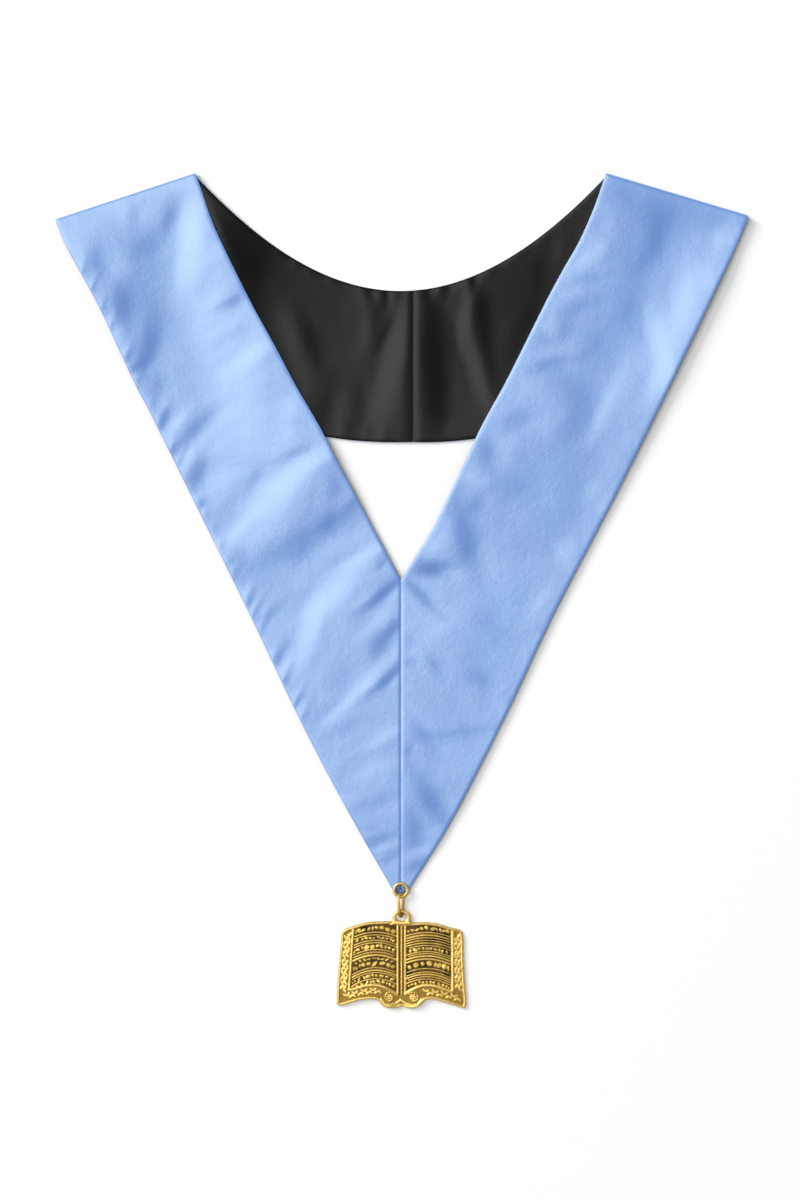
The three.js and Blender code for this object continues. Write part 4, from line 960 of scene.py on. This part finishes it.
# The cast face of the book: a grid of points inside its outline, and the relief on each
class CastFace:
    def __init__(self):
        scale = np.array([BOOK_WIDTH / 2, BOOK_HEIGHT / 2])
        outline = smooth_loop(np.array(BOOK_OUTLINE) * scale, OUTLINE_STEPS)
        loop = np.concatenate([outline, outline[:1]])
        corners = (LOWER_LEFT, LOWER_RIGHT, UPPER_RIGHT)
        first, second, third = (row * OUTLINE_STEPS for row in corners)
        self.outline = loop
        self.columns = int(BOOK_WIDTH / BOOK_STEP)
        self.rows = int(BOOK_HEIGHT / BOOK_STEP)
        u = np.linspace(0, 1, self.columns)
        v = np.linspace(0, 1, self.rows)
        low = along_line(loop[first:second + 1], u)
        high = along_line(loop[third:][::-1], u)
        left = along_line(loop[:first + 1][::-1], v)
        right = along_line(loop[second:third + 1], v)
        u = u[None, :, None]
        v = v[:, None, None]
        corners = mix(mix(low[0], low[-1], u), mix(high[0], high[-1], u), v)
        grid = mix(low[None], high[None], v) + mix(left[:, None], right[:, None], u) - corners
        self.plan = grid.reshape(-1, 2)
        self.x, self.y = self.plan.T
        self.relief = np.zeros(len(self.x))

    def near(self, low, high):
        across = (self.x > low[0]) & (self.x < high[0])
        return np.nonzero(across & (self.y > low[1]) & (self.y < high[1]))[0]

    def raise_to(self, where, height):
        self.relief[where] = np.maximum(self.relief[where], height)

    # A rounded ridge along a line
    def ridge(self, line, half_width, height):
        line = np.asarray(line, dtype=float)
        where = self.near(line.min(axis=0) - half_width, line.max(axis=0) + half_width)
        t = from_line(self.plan[where], line)[0] / half_width
        self.raise_to(where, height * np.maximum(1 - t * t, 0) ** RIDGE_ROUNDING)

    # A rounded bead, or a pointed leaf with a crease down its middle
    def mound(self, x, y, half_length, half_width, turn, height, leaf=False):
        reach = max(half_length, half_width)
        where = self.near((x - reach, y - reach), (x + reach, y + reach))
        dx = self.x[where] - x
        dy = self.y[where] - y
        a = np.abs(dx * math.cos(turn) + dy * math.sin(turn)) / half_length
        b = np.abs(dy * math.cos(turn) - dx * math.sin(turn)) / half_width
        if leaf:
            narrow = np.sqrt(np.maximum(1 - np.minimum(a, 1) ** LEAF_POINT, 1e-6))
            inside = np.maximum(1 - (b / narrow) ** 2, 0) * (a < 1)
            height = height * (1 - CREASE_DEPTH * np.exp(-((b / CREASE_WIDTH) ** 2)))
        else:
            inside = np.maximum(1 - a * a - b * b, 0)
        self.raise_to(where, height * inside**MOUND_ROUNDING)


# Points of a row's arched line at places from the spine
def row_line(page, crown, x):
    down = (PAGE_HEAD_Y - crown) / (PAGE_HEAD_Y - PAGE_FOOT_Y)
    share = (x - PAGE_CROWN) / (page["outer"][0] - PAGE_CROWN)
    y = crown - mix(ARCH_AT_HEAD, ARCH_AT_FOOT, down) * share * share
    return np.stack([page["sign"] * x, y], axis=-1)


# The rows of a page: lines, dashes, and beads that are mounds or leaves
def cast_rows(face, page, chance):
    for crown, half_width, kind, pitch in page["rows"]:
        half_width = half_width * ROW_SPREAD
        down = (PAGE_HEAD_Y - crown) / (PAGE_HEAD_Y - PAGE_FOOT_Y)
        outer = mix(*page["outer"], down) - ROW_END_GAP
        if kind == "line":
            x = np.linspace(PAGE_INNER, outer, LINE_POINTS)
            face.ridge(row_line(page, crown, x), half_width, LINE_RISE)
            continue
        at = PAGE_INNER + chance.uniform(*MARK_START) * pitch
        while at < outer - SHORTEST_MARK:
            length = pitch * chance.uniform(*MARK_SPACING)
            reach = min(length * chance.uniform(*MARK_LENGTH), outer - at)
            if kind == "dashes":
                x = np.linspace(at, at + reach, DASH_POINTS)
                face.ridge(row_line(page, crown, x), half_width, LINE_RISE)
            else:
                around = at + reach / 2 + np.array([-0.5, 0, 0.5])
                before, (x, y), after = row_line(page, crown, around)
                turn = page["sign"] * math.atan(after[1] - before[1]) + chance.uniform(*BEAD_TURN)
                leaf = chance.uniform() < LEAF_SHARE
                high = half_width * chance.uniform(*BEAD_WIDTH)
                y += chance.uniform(*BEAD_OFFSET) * half_width
                face.mound(x, y, reach / 2, high, turn, chance.uniform(*BEAD_RISE), leaf)
            at += length


def cast_frame(face, page):
    mirror = np.array([page["sign"], 1])
    foot = along_line(np.array(page["foot"]), np.linspace(0, 1, FOOT_POINTS))
    face.ridge(np.array(page["side"]) * mirror, page["side_width"], SIDE_RISE)
    face.ridge(foot * mirror, *FOOT_RIDGE)
    face.ridge(np.array(SPINE_FRAME) * mirror, *SPINE_RIDGE)


# Which points of the face lie on its borders, outside both pages
def off_pages(face):
    borders = np.zeros(len(face.x), dtype=bool)
    for page in (LEFT_PAGE, RIGHT_PAGE):
        side = np.array(page["side"])[::-1]
        foot = np.array(page["foot"])[::-1]
        x = page["sign"] * face.x
        beyond = x > np.interp(face.y, side[:, 1], side[:, 0])
        below = face.y < np.interp(x, foot[:, 0], foot[:, 1])
        borders |= (x > 0) & (beyond | below)
    return borders


# Leaves that lean to one side and the other of a waving stem
def cast_border(face, page, border, half_width, count, chance):
    middle = along_line(np.array(page[border]), np.linspace(0, 1, STEM_POINTS))
    middle = middle * (page["sign"], 1)
    run = np.gradient(middle, axis=0)
    run /= np.hypot(run[:, 0], run[:, 1])[:, None]
    side = np.stack([-run[:, 1], run[:, 0]], axis=1)
    wave = STEM_WAVE * half_width * np.sin(np.linspace(0, count * math.pi, len(middle)))
    face.ridge(middle + side * wave[:, None], *STEM_RIDGE)
    for i in range(count):
        k = int((i + 0.5) / count * len(middle))
        hand = 1 if i % 2 else -1
        foot = middle[k] - side[k] * hand * half_width * LEAF_PLACE
        for spread, ahead in LEAF_TURNS:
            turn = math.atan2(run[k, 1], run[k, 0]) - hand * spread
            length = half_width * chance.uniform(*LEAF_LENGTH)
            x, y = foot + run[k] * ahead * length
            face.mound(x, y, length, LEAF_WIDTH * half_width, turn, LEAF_RISE, leaf=True)


# A coiled scroll with petals round its eye
def cast_scroll(face, sign):
    x = sign * SCROLL_X
    share = np.linspace(0, 1, SCROLL_POINTS)
    angle = np.radians(90 + sign * SCROLL_START - sign * SCROLL_TURN * share)
    reach = SCROLL_RADIUS * mix(1.0, SCROLL_CLOSING, share)
    line = np.stack([x + reach * np.cos(angle), SCROLL_Y + reach * np.sin(angle)], axis=1)
    face.ridge(line, *SCROLL_RIDGE)
    for petal in range(PETAL_COUNT):
        turn = math.radians(petal * PETAL_STEP + PETAL_START)
        px = x + PETAL_REACH * math.cos(turn)
        py = SCROLL_Y + PETAL_REACH * math.sin(turn)
        face.mound(px, py, *PETAL_SIZE, turn, PETAL_RISE, leaf=True)
    face.mound(x, SCROLL_Y, EYE_SIZE, EYE_SIZE, 0, EYE_RISE)


# How bright the gold is in its relief, with the painted shade at the link's lower end, and how
# black its recesses, at each point of a mesh
def add_shares(piece, relief, tarnish):
    for name, values in (("relief", relief), ("tarnish", tarnish)):
        attribute = piece.data.attributes.new(name, "FLOAT", "POINT")
        attribute.data.foreach_set("value", values.astype(np.float32))


# The hanging loop on the book, as a band between its hole and its outside, and its foot
def loop_rings():
    angle = np.linspace(0, 2 * math.pi, LOOP_STEPS, endpoint=False)
    half_hole = np.array([LOOP_HOLE_WIDTH, LOOP_HOLE_HEIGHT]) / 2
    inner = np.stack([np.cos(angle), np.sin(angle)], axis=1) * half_hole
    half = LOOP_WIDTH / 2
    foot_y = -LOOP_HOLE_HEIGHT / 2 - LOOP_FOOT
    foot_x = half + LOOP_FOOT_SPREAD
    spread = foot_y + LOOP_FOOT_EASE * LOOP_FOOT
    shares = np.linspace(0, 1, LOOP_STEPS // 6, endpoint=False)
    side = bezier([(half, 0), (half, foot_y / 2), (half, spread), (foot_x, foot_y)], shares)
    foot = np.stack([mix(foot_x, -foot_x, shares), np.full(len(shares), foot_y)], axis=1)
    below = np.concatenate([side, foot, [[-foot_x, foot_y]], side[::-1][:-1] * (-1, 1)])
    arch = angle[: LOOP_STEPS // 2]
    above = np.stack([half * np.cos(arch), (half_hole[1] + LOOP_BAR) * np.sin(arch)], axis=1)
    return inner, np.concatenate([above, below[::-1]])


def loop_shell():
    inner, outer = loop_rings()
    points = []
    for turn in 2 * math.pi * np.arange(LOOP_SIDES) / LOOP_SIDES:
        bulge = math.copysign(abs(math.sin(turn)) ** LOOP_ROUNDING, math.sin(turn))
        plan = mix(inner, outer, 0.5 - 0.5 * math.cos(turn)) + (0, LOOP_HOLE_Y - BOOK_Y)
        height = LOOP_HEIGHT + bulge * LOOP_THICKNESS / 2
        points.append(np.column_stack([plan, np.full(len(plan), height)]))
    return np.concatenate(points), tube_faces(LOOP_SIDES, len(inner))


# The faces of a tube whose points run along it in lines, laid one beside the other round it
def tube_faces(sides, steps, closed=True):
    grid = np.arange(sides * steps).reshape(sides, steps)
    around = np.roll(grid, -1, axis=0)
    further = (np.roll(around, -1, axis=1), np.roll(grid, -1, axis=1))
    faces = np.stack([grid, around, *further], axis=-1)
    return faces[:, : steps if closed else steps - 1].reshape(-1, 4)


def cast_relief(face, from_edge):
    chance = np.random.default_rng(BOOK_SEED)
    for page in (LEFT_PAGE, RIGHT_PAGE):
        cast_rows(face, page, chance)
        cast_frame(face, page)
        for border, half_width, count in BORDERS:
            cast_border(face, page, border, half_width, count, chance)
        cast_scroll(face, page["sign"])
    face.ridge(LIP, *LIP_RIDGE)
    for y in np.arange(*TWIST_RUN):
        face.mound(TWIST_X, y, *TWIST_BEAD)
    rim = np.maximum(1 - (2 * from_edge / RIM_WIDTH - 1) ** 2, 0)
    face.raise_to(slice(None), RIM_RISE * rim**MOUND_ROUNDING)


# The closed body of the book: its cast face, domed and rounded at its edge, its sides and back
def book_shell(face, from_edge):
    section = [(-x, z) for x, z in reversed(BOOK_SECTION)] + BOOK_SECTION[1:]
    dome = table_value(section, face.x / (BOOK_WIDTH / 2)) * BOOK_THICKNESS
    edge = np.clip(1 - from_edge / EDGE_ROUND, 0, 1)
    height = dome + face.relief - EDGE_ROUND * (1 - np.sqrt(np.maximum(1 - edge**2, 0)))
    points = np.column_stack([face.plan, height])
    grid = np.arange(len(points)).reshape(face.rows, face.columns)
    quads = np.stack([grid[:-1, :-1], grid[:-1, 1:], grid[1:, 1:], grid[1:, :-1]], axis=-1)
    faces = quads.reshape(-1, 4).tolist()
    border = np.concatenate([grid[0, :-1], grid[:-1, -1], grid[-1, :0:-1], grid[:0:-1, 0]])
    above = border
    for shrink, level in ((1.0, BOOK_FOOT), (FOOT_SHRINK, 0.0)):
        ring = points[border] * (shrink, shrink, 0) + (0, 0, level)
        below = np.arange(len(ring)) + len(points)
        points = np.concatenate([points, ring])
        walls = np.stack([above, below, np.roll(below, -1), np.roll(above, -1)], axis=1)
        faces += walls.tolist()
        above = below
    faces.append(above[::-1].tolist())
    return points, faces


def book_mesh():
    face = CastFace()
    from_edge = from_line(face.plan, face.outline)[0]
    cast_relief(face, from_edge)
    points, faces = book_shell(face, from_edge)
    loop_points, loop_faces = loop_shell()
    faces += (loop_faces + len(points)).tolist()
    points = np.concatenate([points, loop_points])
    relief = np.full(len(points), PLAIN_SHINE)
    share = np.clip(face.relief / LINE_RISE, 0, 1)
    relief[: len(share)] = np.where(off_pages(face), mix(BORDER_SHINE, 1, share), share)
    tarnish = np.zeros(len(points))
    for x, y, half_length, half_width, turn, strength in TARNISH:
        patch = swell(points[:, 0] - x, points[:, 1] - y, half_length, half_width, turn)
        tarnish = np.maximum(tarnish, strength * np.sqrt(patch))
    book = make_mesh("book_cast", points + (PLAN_X + BOOK_X, PLAN_Y + BOOK_Y, 0), faces)
    add_shares(book, relief, tarnish)
    return book


# A closed loop of round wire along a flat path, tilted, twisted and put in its place. Its lower
# end is darker, which on the link is painted shade, and may be thicker.
def wire_loop(
    name, path, wire, sides, place, darker_end_level, low_swell=1.0, turns=(0, 0, 0), straight=1.0,
):
    pitch, tilt, twist = turns
    low = smooth(LOW_END_START - path[:, 1] / (LOW_END_RUN * np.abs(path[:, 1]).max()))
    wire = wire * mix(1.0, low_swell, low)
    run = np.roll(path, -1, axis=0) - np.roll(path, 1, axis=0)
    run /= np.hypot(run[:, 0], run[:, 1])[:, None]
    out = np.stack([run[:, 1], -run[:, 0]], axis=1)
    points = []
    for turn in 2 * math.pi * np.arange(sides) / sides:
        plan = path + out * (wire / 2 * math.cos(turn))[:, None]
        points.append(np.column_stack([plan, wire / 2 * math.sin(turn)]))
    points = np.concatenate(points)
    turn = tilt + twist * np.clip((straight - points[:, 1]) / (2 * straight), 0, 1)
    x = points[:, 0] * np.cos(turn) + points[:, 2] * np.sin(turn)
    z = points[:, 2] * np.cos(turn) - points[:, 0] * np.sin(turn)
    y = points[:, 1] * math.cos(pitch) - z * math.sin(pitch)
    z = points[:, 1] * math.sin(pitch) + z * math.cos(pitch)
    points = np.column_stack([x, y, z]) + place + (PLAN_X, PLAN_Y, 0)
    piece = make_mesh(name, points, tube_faces(sides, len(path)).tolist())
    # The lower end's lower brightness share: painted shade on the link
    add_shares(piece, mix(PLAIN_SHINE, darker_end_level, np.tile(low, sides)), np.zeros(len(points)))
    return piece


def ring_mesh():
    angle = np.linspace(0, 2 * math.pi, RING_STEPS, endpoint=False)
    path = RING_RADIUS * np.stack([np.cos(angle), np.sin(angle)], axis=1)
    place = (0, RING_Y, RING_Z)
    return wire_loop("ring_cast", path, RING_WIRE, RING_SIDES, place, RING_LOW_SHINE)


def link_mesh():
    radius = (LINK_WIDTH - LINK_WIRE) / 2
    straight = (LINK_LENGTH - LINK_WIDTH) / 2
    angle = np.linspace(0, math.pi, LINK_BEND_STEPS)
    bend = np.stack([radius * np.cos(angle), straight + radius * np.sin(angle)], axis=1)
    path = np.concatenate([bend, -bend])
    place = (0, (LINK_TOP_Y + LINK_LOW_Y) / 2, (RING_Z + LINK_LOW_Z) / 2)
    turns = (LINK_PITCH, math.radians(LINK_TILT), math.radians(LINK_TWIST))
    # The link's lower end: its painted shade and its thicker wire
    looks = (LINK_PAINTED_SHADE_LEVEL, LINK_SWELL)
    return wire_loop("link_wire", path, LINK_WIRE, LINK_SIDES, place, *looks, turns, straight)


# Short crossing stitches on the tip, inside the ring and up to its wire
def thread_mesh():
    chance = np.random.default_rng(THREAD_SEED)
    sides, steps = THREAD_SIDES, THREAD_STEPS
    share = np.linspace(-1, 1, steps)
    level = THREAD_LEVEL + THREAD_ARCH * (1 - share**2)
    points = []
    faces = []
    for i in range(THREAD_STITCHES):
        around = math.radians(STITCH_TURN) * i
        reach = THREAD_REACH * math.sqrt((i + 0.5) / THREAD_STITCHES)
        middle = np.array([reach * math.cos(around), RING_Y + reach * math.sin(around)])
        turn = chance.uniform(0, math.pi)
        run = np.array([math.cos(turn), math.sin(turn)])
        plan = middle + run * (share * THREAD_LENGTH / 2)[:, None]
        for angle in 2 * math.pi * np.arange(sides) / sides:
            out = np.array([-run[1], run[0]]) * (THREAD_WIDTH / 2 * math.cos(angle))
            up = THREAD_WIDTH / 2 * math.sin(angle)
            points.append(np.column_stack([plan + out, level + up]))
        first = i * sides * steps
        ends = np.arange(sides) * steps + first
        faces += (tube_faces(sides, steps, closed=False) + first).tolist()
        faces += [ends.tolist(), (ends[::-1] + steps - 1).tolist()]
    return make_mesh("ring_thread", np.concatenate(points) + (PLAN_X, PLAN_Y, 0), faces)


# Links or sets a node's inputs
def fill(tree, node, inputs):
    for name, value in inputs.items():
        if isinstance(value, bpy.types.NodeSocket):
            tree.links.new(value, node.inputs[name])
        else:
            node.inputs[name].default_value = value


# A new node with its settings and inputs
def add_node(tree, kind, inputs, **settings):
    node = tree.nodes.new(kind)
    for name, value in settings.items():
        setattr(node, name, value)
    fill(tree, node, inputs)
    return node


# A material, its tree and its shader, and the place on the piece
def new_material(name):
    material = bpy.data.materials.new(name)
    material.use_nodes = True
    tree = material.node_tree
    place = add_node(tree, "ShaderNodeTexCoord", {}).outputs["Object"]
    return material, tree, tree.nodes["Principled BSDF"], place


def attribute(tree, name):
    return add_node(tree, "ShaderNodeAttribute", {}, attribute_name=name)


def noise(tree, place, scale, detail, roughness=0.5):
    inputs = {"Vector": place, "Scale": scale, "Detail": detail, "Roughness": roughness}
    return add_node(tree, "ShaderNodeTexNoise", inputs).outputs["Fac"]


# A ramp of colours: each stop is its place, red, green and blue
def colour_ramp(tree, factor, stops):
    node = add_node(tree, "ShaderNodeValToRGB", {"Fac": factor})
    elements = node.color_ramp.elements
    while len(elements) < len(stops):
        elements.new(0.5)
    for element, (position, *colour) in zip(elements, stops):
        element.position = position
        element.color = (*colour, 1.0)
    return node.outputs["Color"]


def bump(tree, height, strength, distance, **normal):
    inputs = {"Height": height, "Strength": strength, "Distance": distance, **normal}
    return add_node(tree, "ShaderNodeBump", inputs).outputs["Normal"]


# The normal of cloth whose face leans by the mesh's own table of leans
def leaning_normal(tree):
    normal = add_node(tree, "ShaderNodeNewGeometry", {}).outputs["Normal"]
    lean = attribute(tree, "lean").outputs["Vector"]
    total = add_node(tree, "ShaderNodeVectorMath", {0: normal, 1: lean}, operation="ADD")
    total = {0: total.outputs["Vector"]}
    return add_node(tree, "ShaderNodeVectorMath", total, operation="NORMALIZE").outputs["Vector"]


# A cloth of two near colours in broad blotches, with soft crumples and a fine grain: each of the
# three noises is its scale, detail and roughness
def cloth_material(name, looks, blotches, colours, crumples, crumple_depth, grain, grain_strength):
    material, tree, shader, place = new_material(name)
    colour = colour_ramp(tree, noise(tree, place, *blotches), colours)
    crumpled = noise(tree, place, *crumples)
    normal = bump(tree, crumpled, 1.0, crumple_depth, Normal=leaning_normal(tree))
    normal = bump(tree, noise(tree, place, *grain), grain_strength, GRAIN_DEPTH, Normal=normal)
    fill(tree, shader, {"Base Color": colour, "Normal": normal, **looks})
    return material


def gold_material():
    material, tree, shader, place = new_material("gold")
    # The relief share darkens the gold in its recesses, as patina, and at the link's lower end, as
    # painted shade
    relief = attribute(tree, "relief").outputs["Fac"]
    clean = colour_ramp(tree, relief, [
        (0.0, 0.12, 0.066, 0.012), (0.25, 0.4, 0.24, 0.04), (0.6, 0.72, 0.47, 0.1),
        (1.0, 0.87, 0.61, 0.18),
    ])
    black = colour_ramp(tree, relief, [
        (0.0, 0.004, 0.003, 0.003), (0.35, 0.09, 0.055, 0.013), (0.8, 0.66, 0.46, 0.12),
    ])
    share = {"Factor": attribute(tree, "tarnish").outputs["Fac"], "A": clean, "B": black}
    blend = add_node(tree, "ShaderNodeMix", share, data_type="RGBA").outputs["Result"]
    mottle = noise(tree, place, scale=420.0, detail=3.0, roughness=0.6)
    worn = colour_ramp(tree, mottle, [(0.3, 0.72, 0.7, 0.64), (0.6, 1.0, 1.0, 1.0)])
    share = {"Factor": 1.0, "A": blend, "B": worn}
    shade = add_node(tree, "ShaderNodeMix", share, data_type="RGBA", blend_type="MULTIPLY")
    fill(tree, shader, {
        "Base Color": shade.outputs["Result"],
        "Roughness": colour_ramp(tree, relief, [(0.2, 0.7, 0.7, 0.7), (0.9, 0.36, 0.36, 0.36)]),
        "Metallic": 0.65,
        "Normal": bump(tree, mottle, strength=0.4, distance=0.0002),
    })
    return material


def thread_material():
    material, tree, shader, place = new_material("thread")
    strands = noise(tree, place, scale=2500.0, detail=2.0)
    colour = colour_ramp(tree, strands, [(0.35, 0.012, 0.03, 0.11), (0.65, 0.06, 0.13, 0.36)])
    fill(tree, shader, {"Base Color": colour, "Roughness": 0.6})
    return material


SATIN_LOOKS = {
    "Roughness": 0.4, "IOR": 2.4, "Specular Tint": (0.91, 1.0, 0.85, 1.0),
    "Sheen Weight": 0.25, "Sheen Roughness": 0.4, "Sheen Tint": (0.75, 0.86, 1.0, 1.0),
}
SATIN = cloth_material(
    "satin", SATIN_LOOKS, blotches=(22.0, 3.0),
    colours=[(0.3, 0.106, 0.251, 0.67), (0.7, 0.12, 0.279, 0.72)],
    crumples=(55.0, 4.0, 0.55), crumple_depth=SATIN_CRUMPLE,
    grain=(600.0, 4.0, 0.7), grain_strength=1.0,
)
LINING_LOOKS = {"Roughness": 0.35, "Specular IOR Level": 0.25}
LINING = cloth_material(
    "lining", LINING_LOOKS, blotches=(30.0, 3.0),
    colours=[(0.3, 0.001, 0.001, 0.0014), (0.7, 0.0025, 0.0025, 0.003)],
    crumples=(50.0, 4.0, 0.55), crumple_depth=LINING_CRUMPLE,
    grain=(1000.0, 3.0, 0.6), grain_strength=0.4,
)
GOLD = gold_material()
THREAD = thread_material()


def finish_piece(piece, material, node):
    piece.data.materials.append(material)
    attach(piece, "root")
    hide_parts(node)


# Each layer of a half was cut from a flat band and is sewn and pressed into its folds
for half, side in ((LEFT, "left"), (RIGHT, "right")):
    for slot, layer, material, rests_on in (
        ("satin", SATIN_LAYER, SATIN, f"lining_{side}"),
        ("lining", LINING_LAYER, LINING, "floor"),
    ):
        piece = cloth_layer(f"{slot}_{side}_cloth", half, layer)
        finish_piece(piece, material, f"{slot}_{side}")

finish_piece(ring_mesh(), GOLD, "sewn_ring")
finish_piece(link_mesh(), GOLD, "jewel_link")
finish_piece(book_mesh(), GOLD, "book_jewel")
ring_thread = thread_mesh()
ring_thread.data.materials.append(THREAD)
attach(ring_thread, "root")

# The floor
FLOOR_SIZE = 8.0
bpy.ops.mesh.primitive_plane_add(size=FLOOR_SIZE, location=(0, 0, 0))
floor = bpy.context.object
floor.name = "floor"
floor_material, floor_tree, floor_shader, _ = new_material("floor")
fill(floor_tree, floor_shader, {"Base Color": (0.95, 0.95, 0.95, 1.0), "Roughness": 0.9})
floor.data.materials.append(floor_material)

# The camera looks straight down at the whole of the photograph's frame
PHOTO_MM_PER_PIXEL = 0.69
PHOTO_PIXELS_HIGH = 1200
CAMERA_X = -1.2
CAMERA_Y = -6.4
CAMERA_HEIGHT = 3.2
CAMERA_REACH = 20.0
SENSOR_WIDTH = 36.0
camera_data = bpy.data.cameras.new("camera")
camera_data.sensor_fit = "AUTO"
camera_data.sensor_width = SENSOR_WIDTH
camera_data.lens = SENSOR_WIDTH * CAMERA_HEIGHT / (PHOTO_PIXELS_HIGH * PHOTO_MM_PER_PIXEL * MM)
camera_data.clip_end = CAMERA_REACH
camera = bpy.data.objects.new("camera", camera_data)
camera.location = (CAMERA_X * MM, CAMERA_Y * MM, CAMERA_HEIGHT)
bpy.context.scene.collection.objects.link(camera)
bpy.context.scene.camera = camera


# A square light that looks at the frame's zero: tilt is its angle from straight above
def area_light(name, azimuth, tilt, distance, size, power):
    data = bpy.data.lights.new(name, "AREA")
    data.shape = "SQUARE"
    data.size = size
    data.energy = power
    light = bpy.data.objects.new(name, data)
    across = distance * math.sin(tilt)
    height = distance * math.cos(tilt)
    light.location = (across * math.cos(azimuth), across * math.sin(azimuth), height)
    light.rotation_euler = (tilt, 0.0, azimuth + math.pi / 2)
    bpy.context.scene.collection.objects.link(light)


# Soft light from the upper left, gloss from nearly above, and a pale room
LIGHT_DISTANCE = 12.0
KEY_TILT = math.radians(57)
GLOSS_TILT = math.radians(18.5)
area_light("key", KEY_AZIMUTH, KEY_TILT, LIGHT_DISTANCE, size=5.2, power=1020.0)
area_light("gloss", LIGHT_AZIMUTH, GLOSS_TILT, LIGHT_DISTANCE, size=7.8, power=755.0)
world = bpy.data.worlds.new("room")
world.use_nodes = True
background = world.node_tree.nodes["Background"]
fill(world.node_tree, background, {"Color": (1.0, 1.0, 1.0, 1.0), "Strength": 0.27})
bpy.context.scene.world = world
bpy.context.scene.view_settings.view_transform = "Standard"
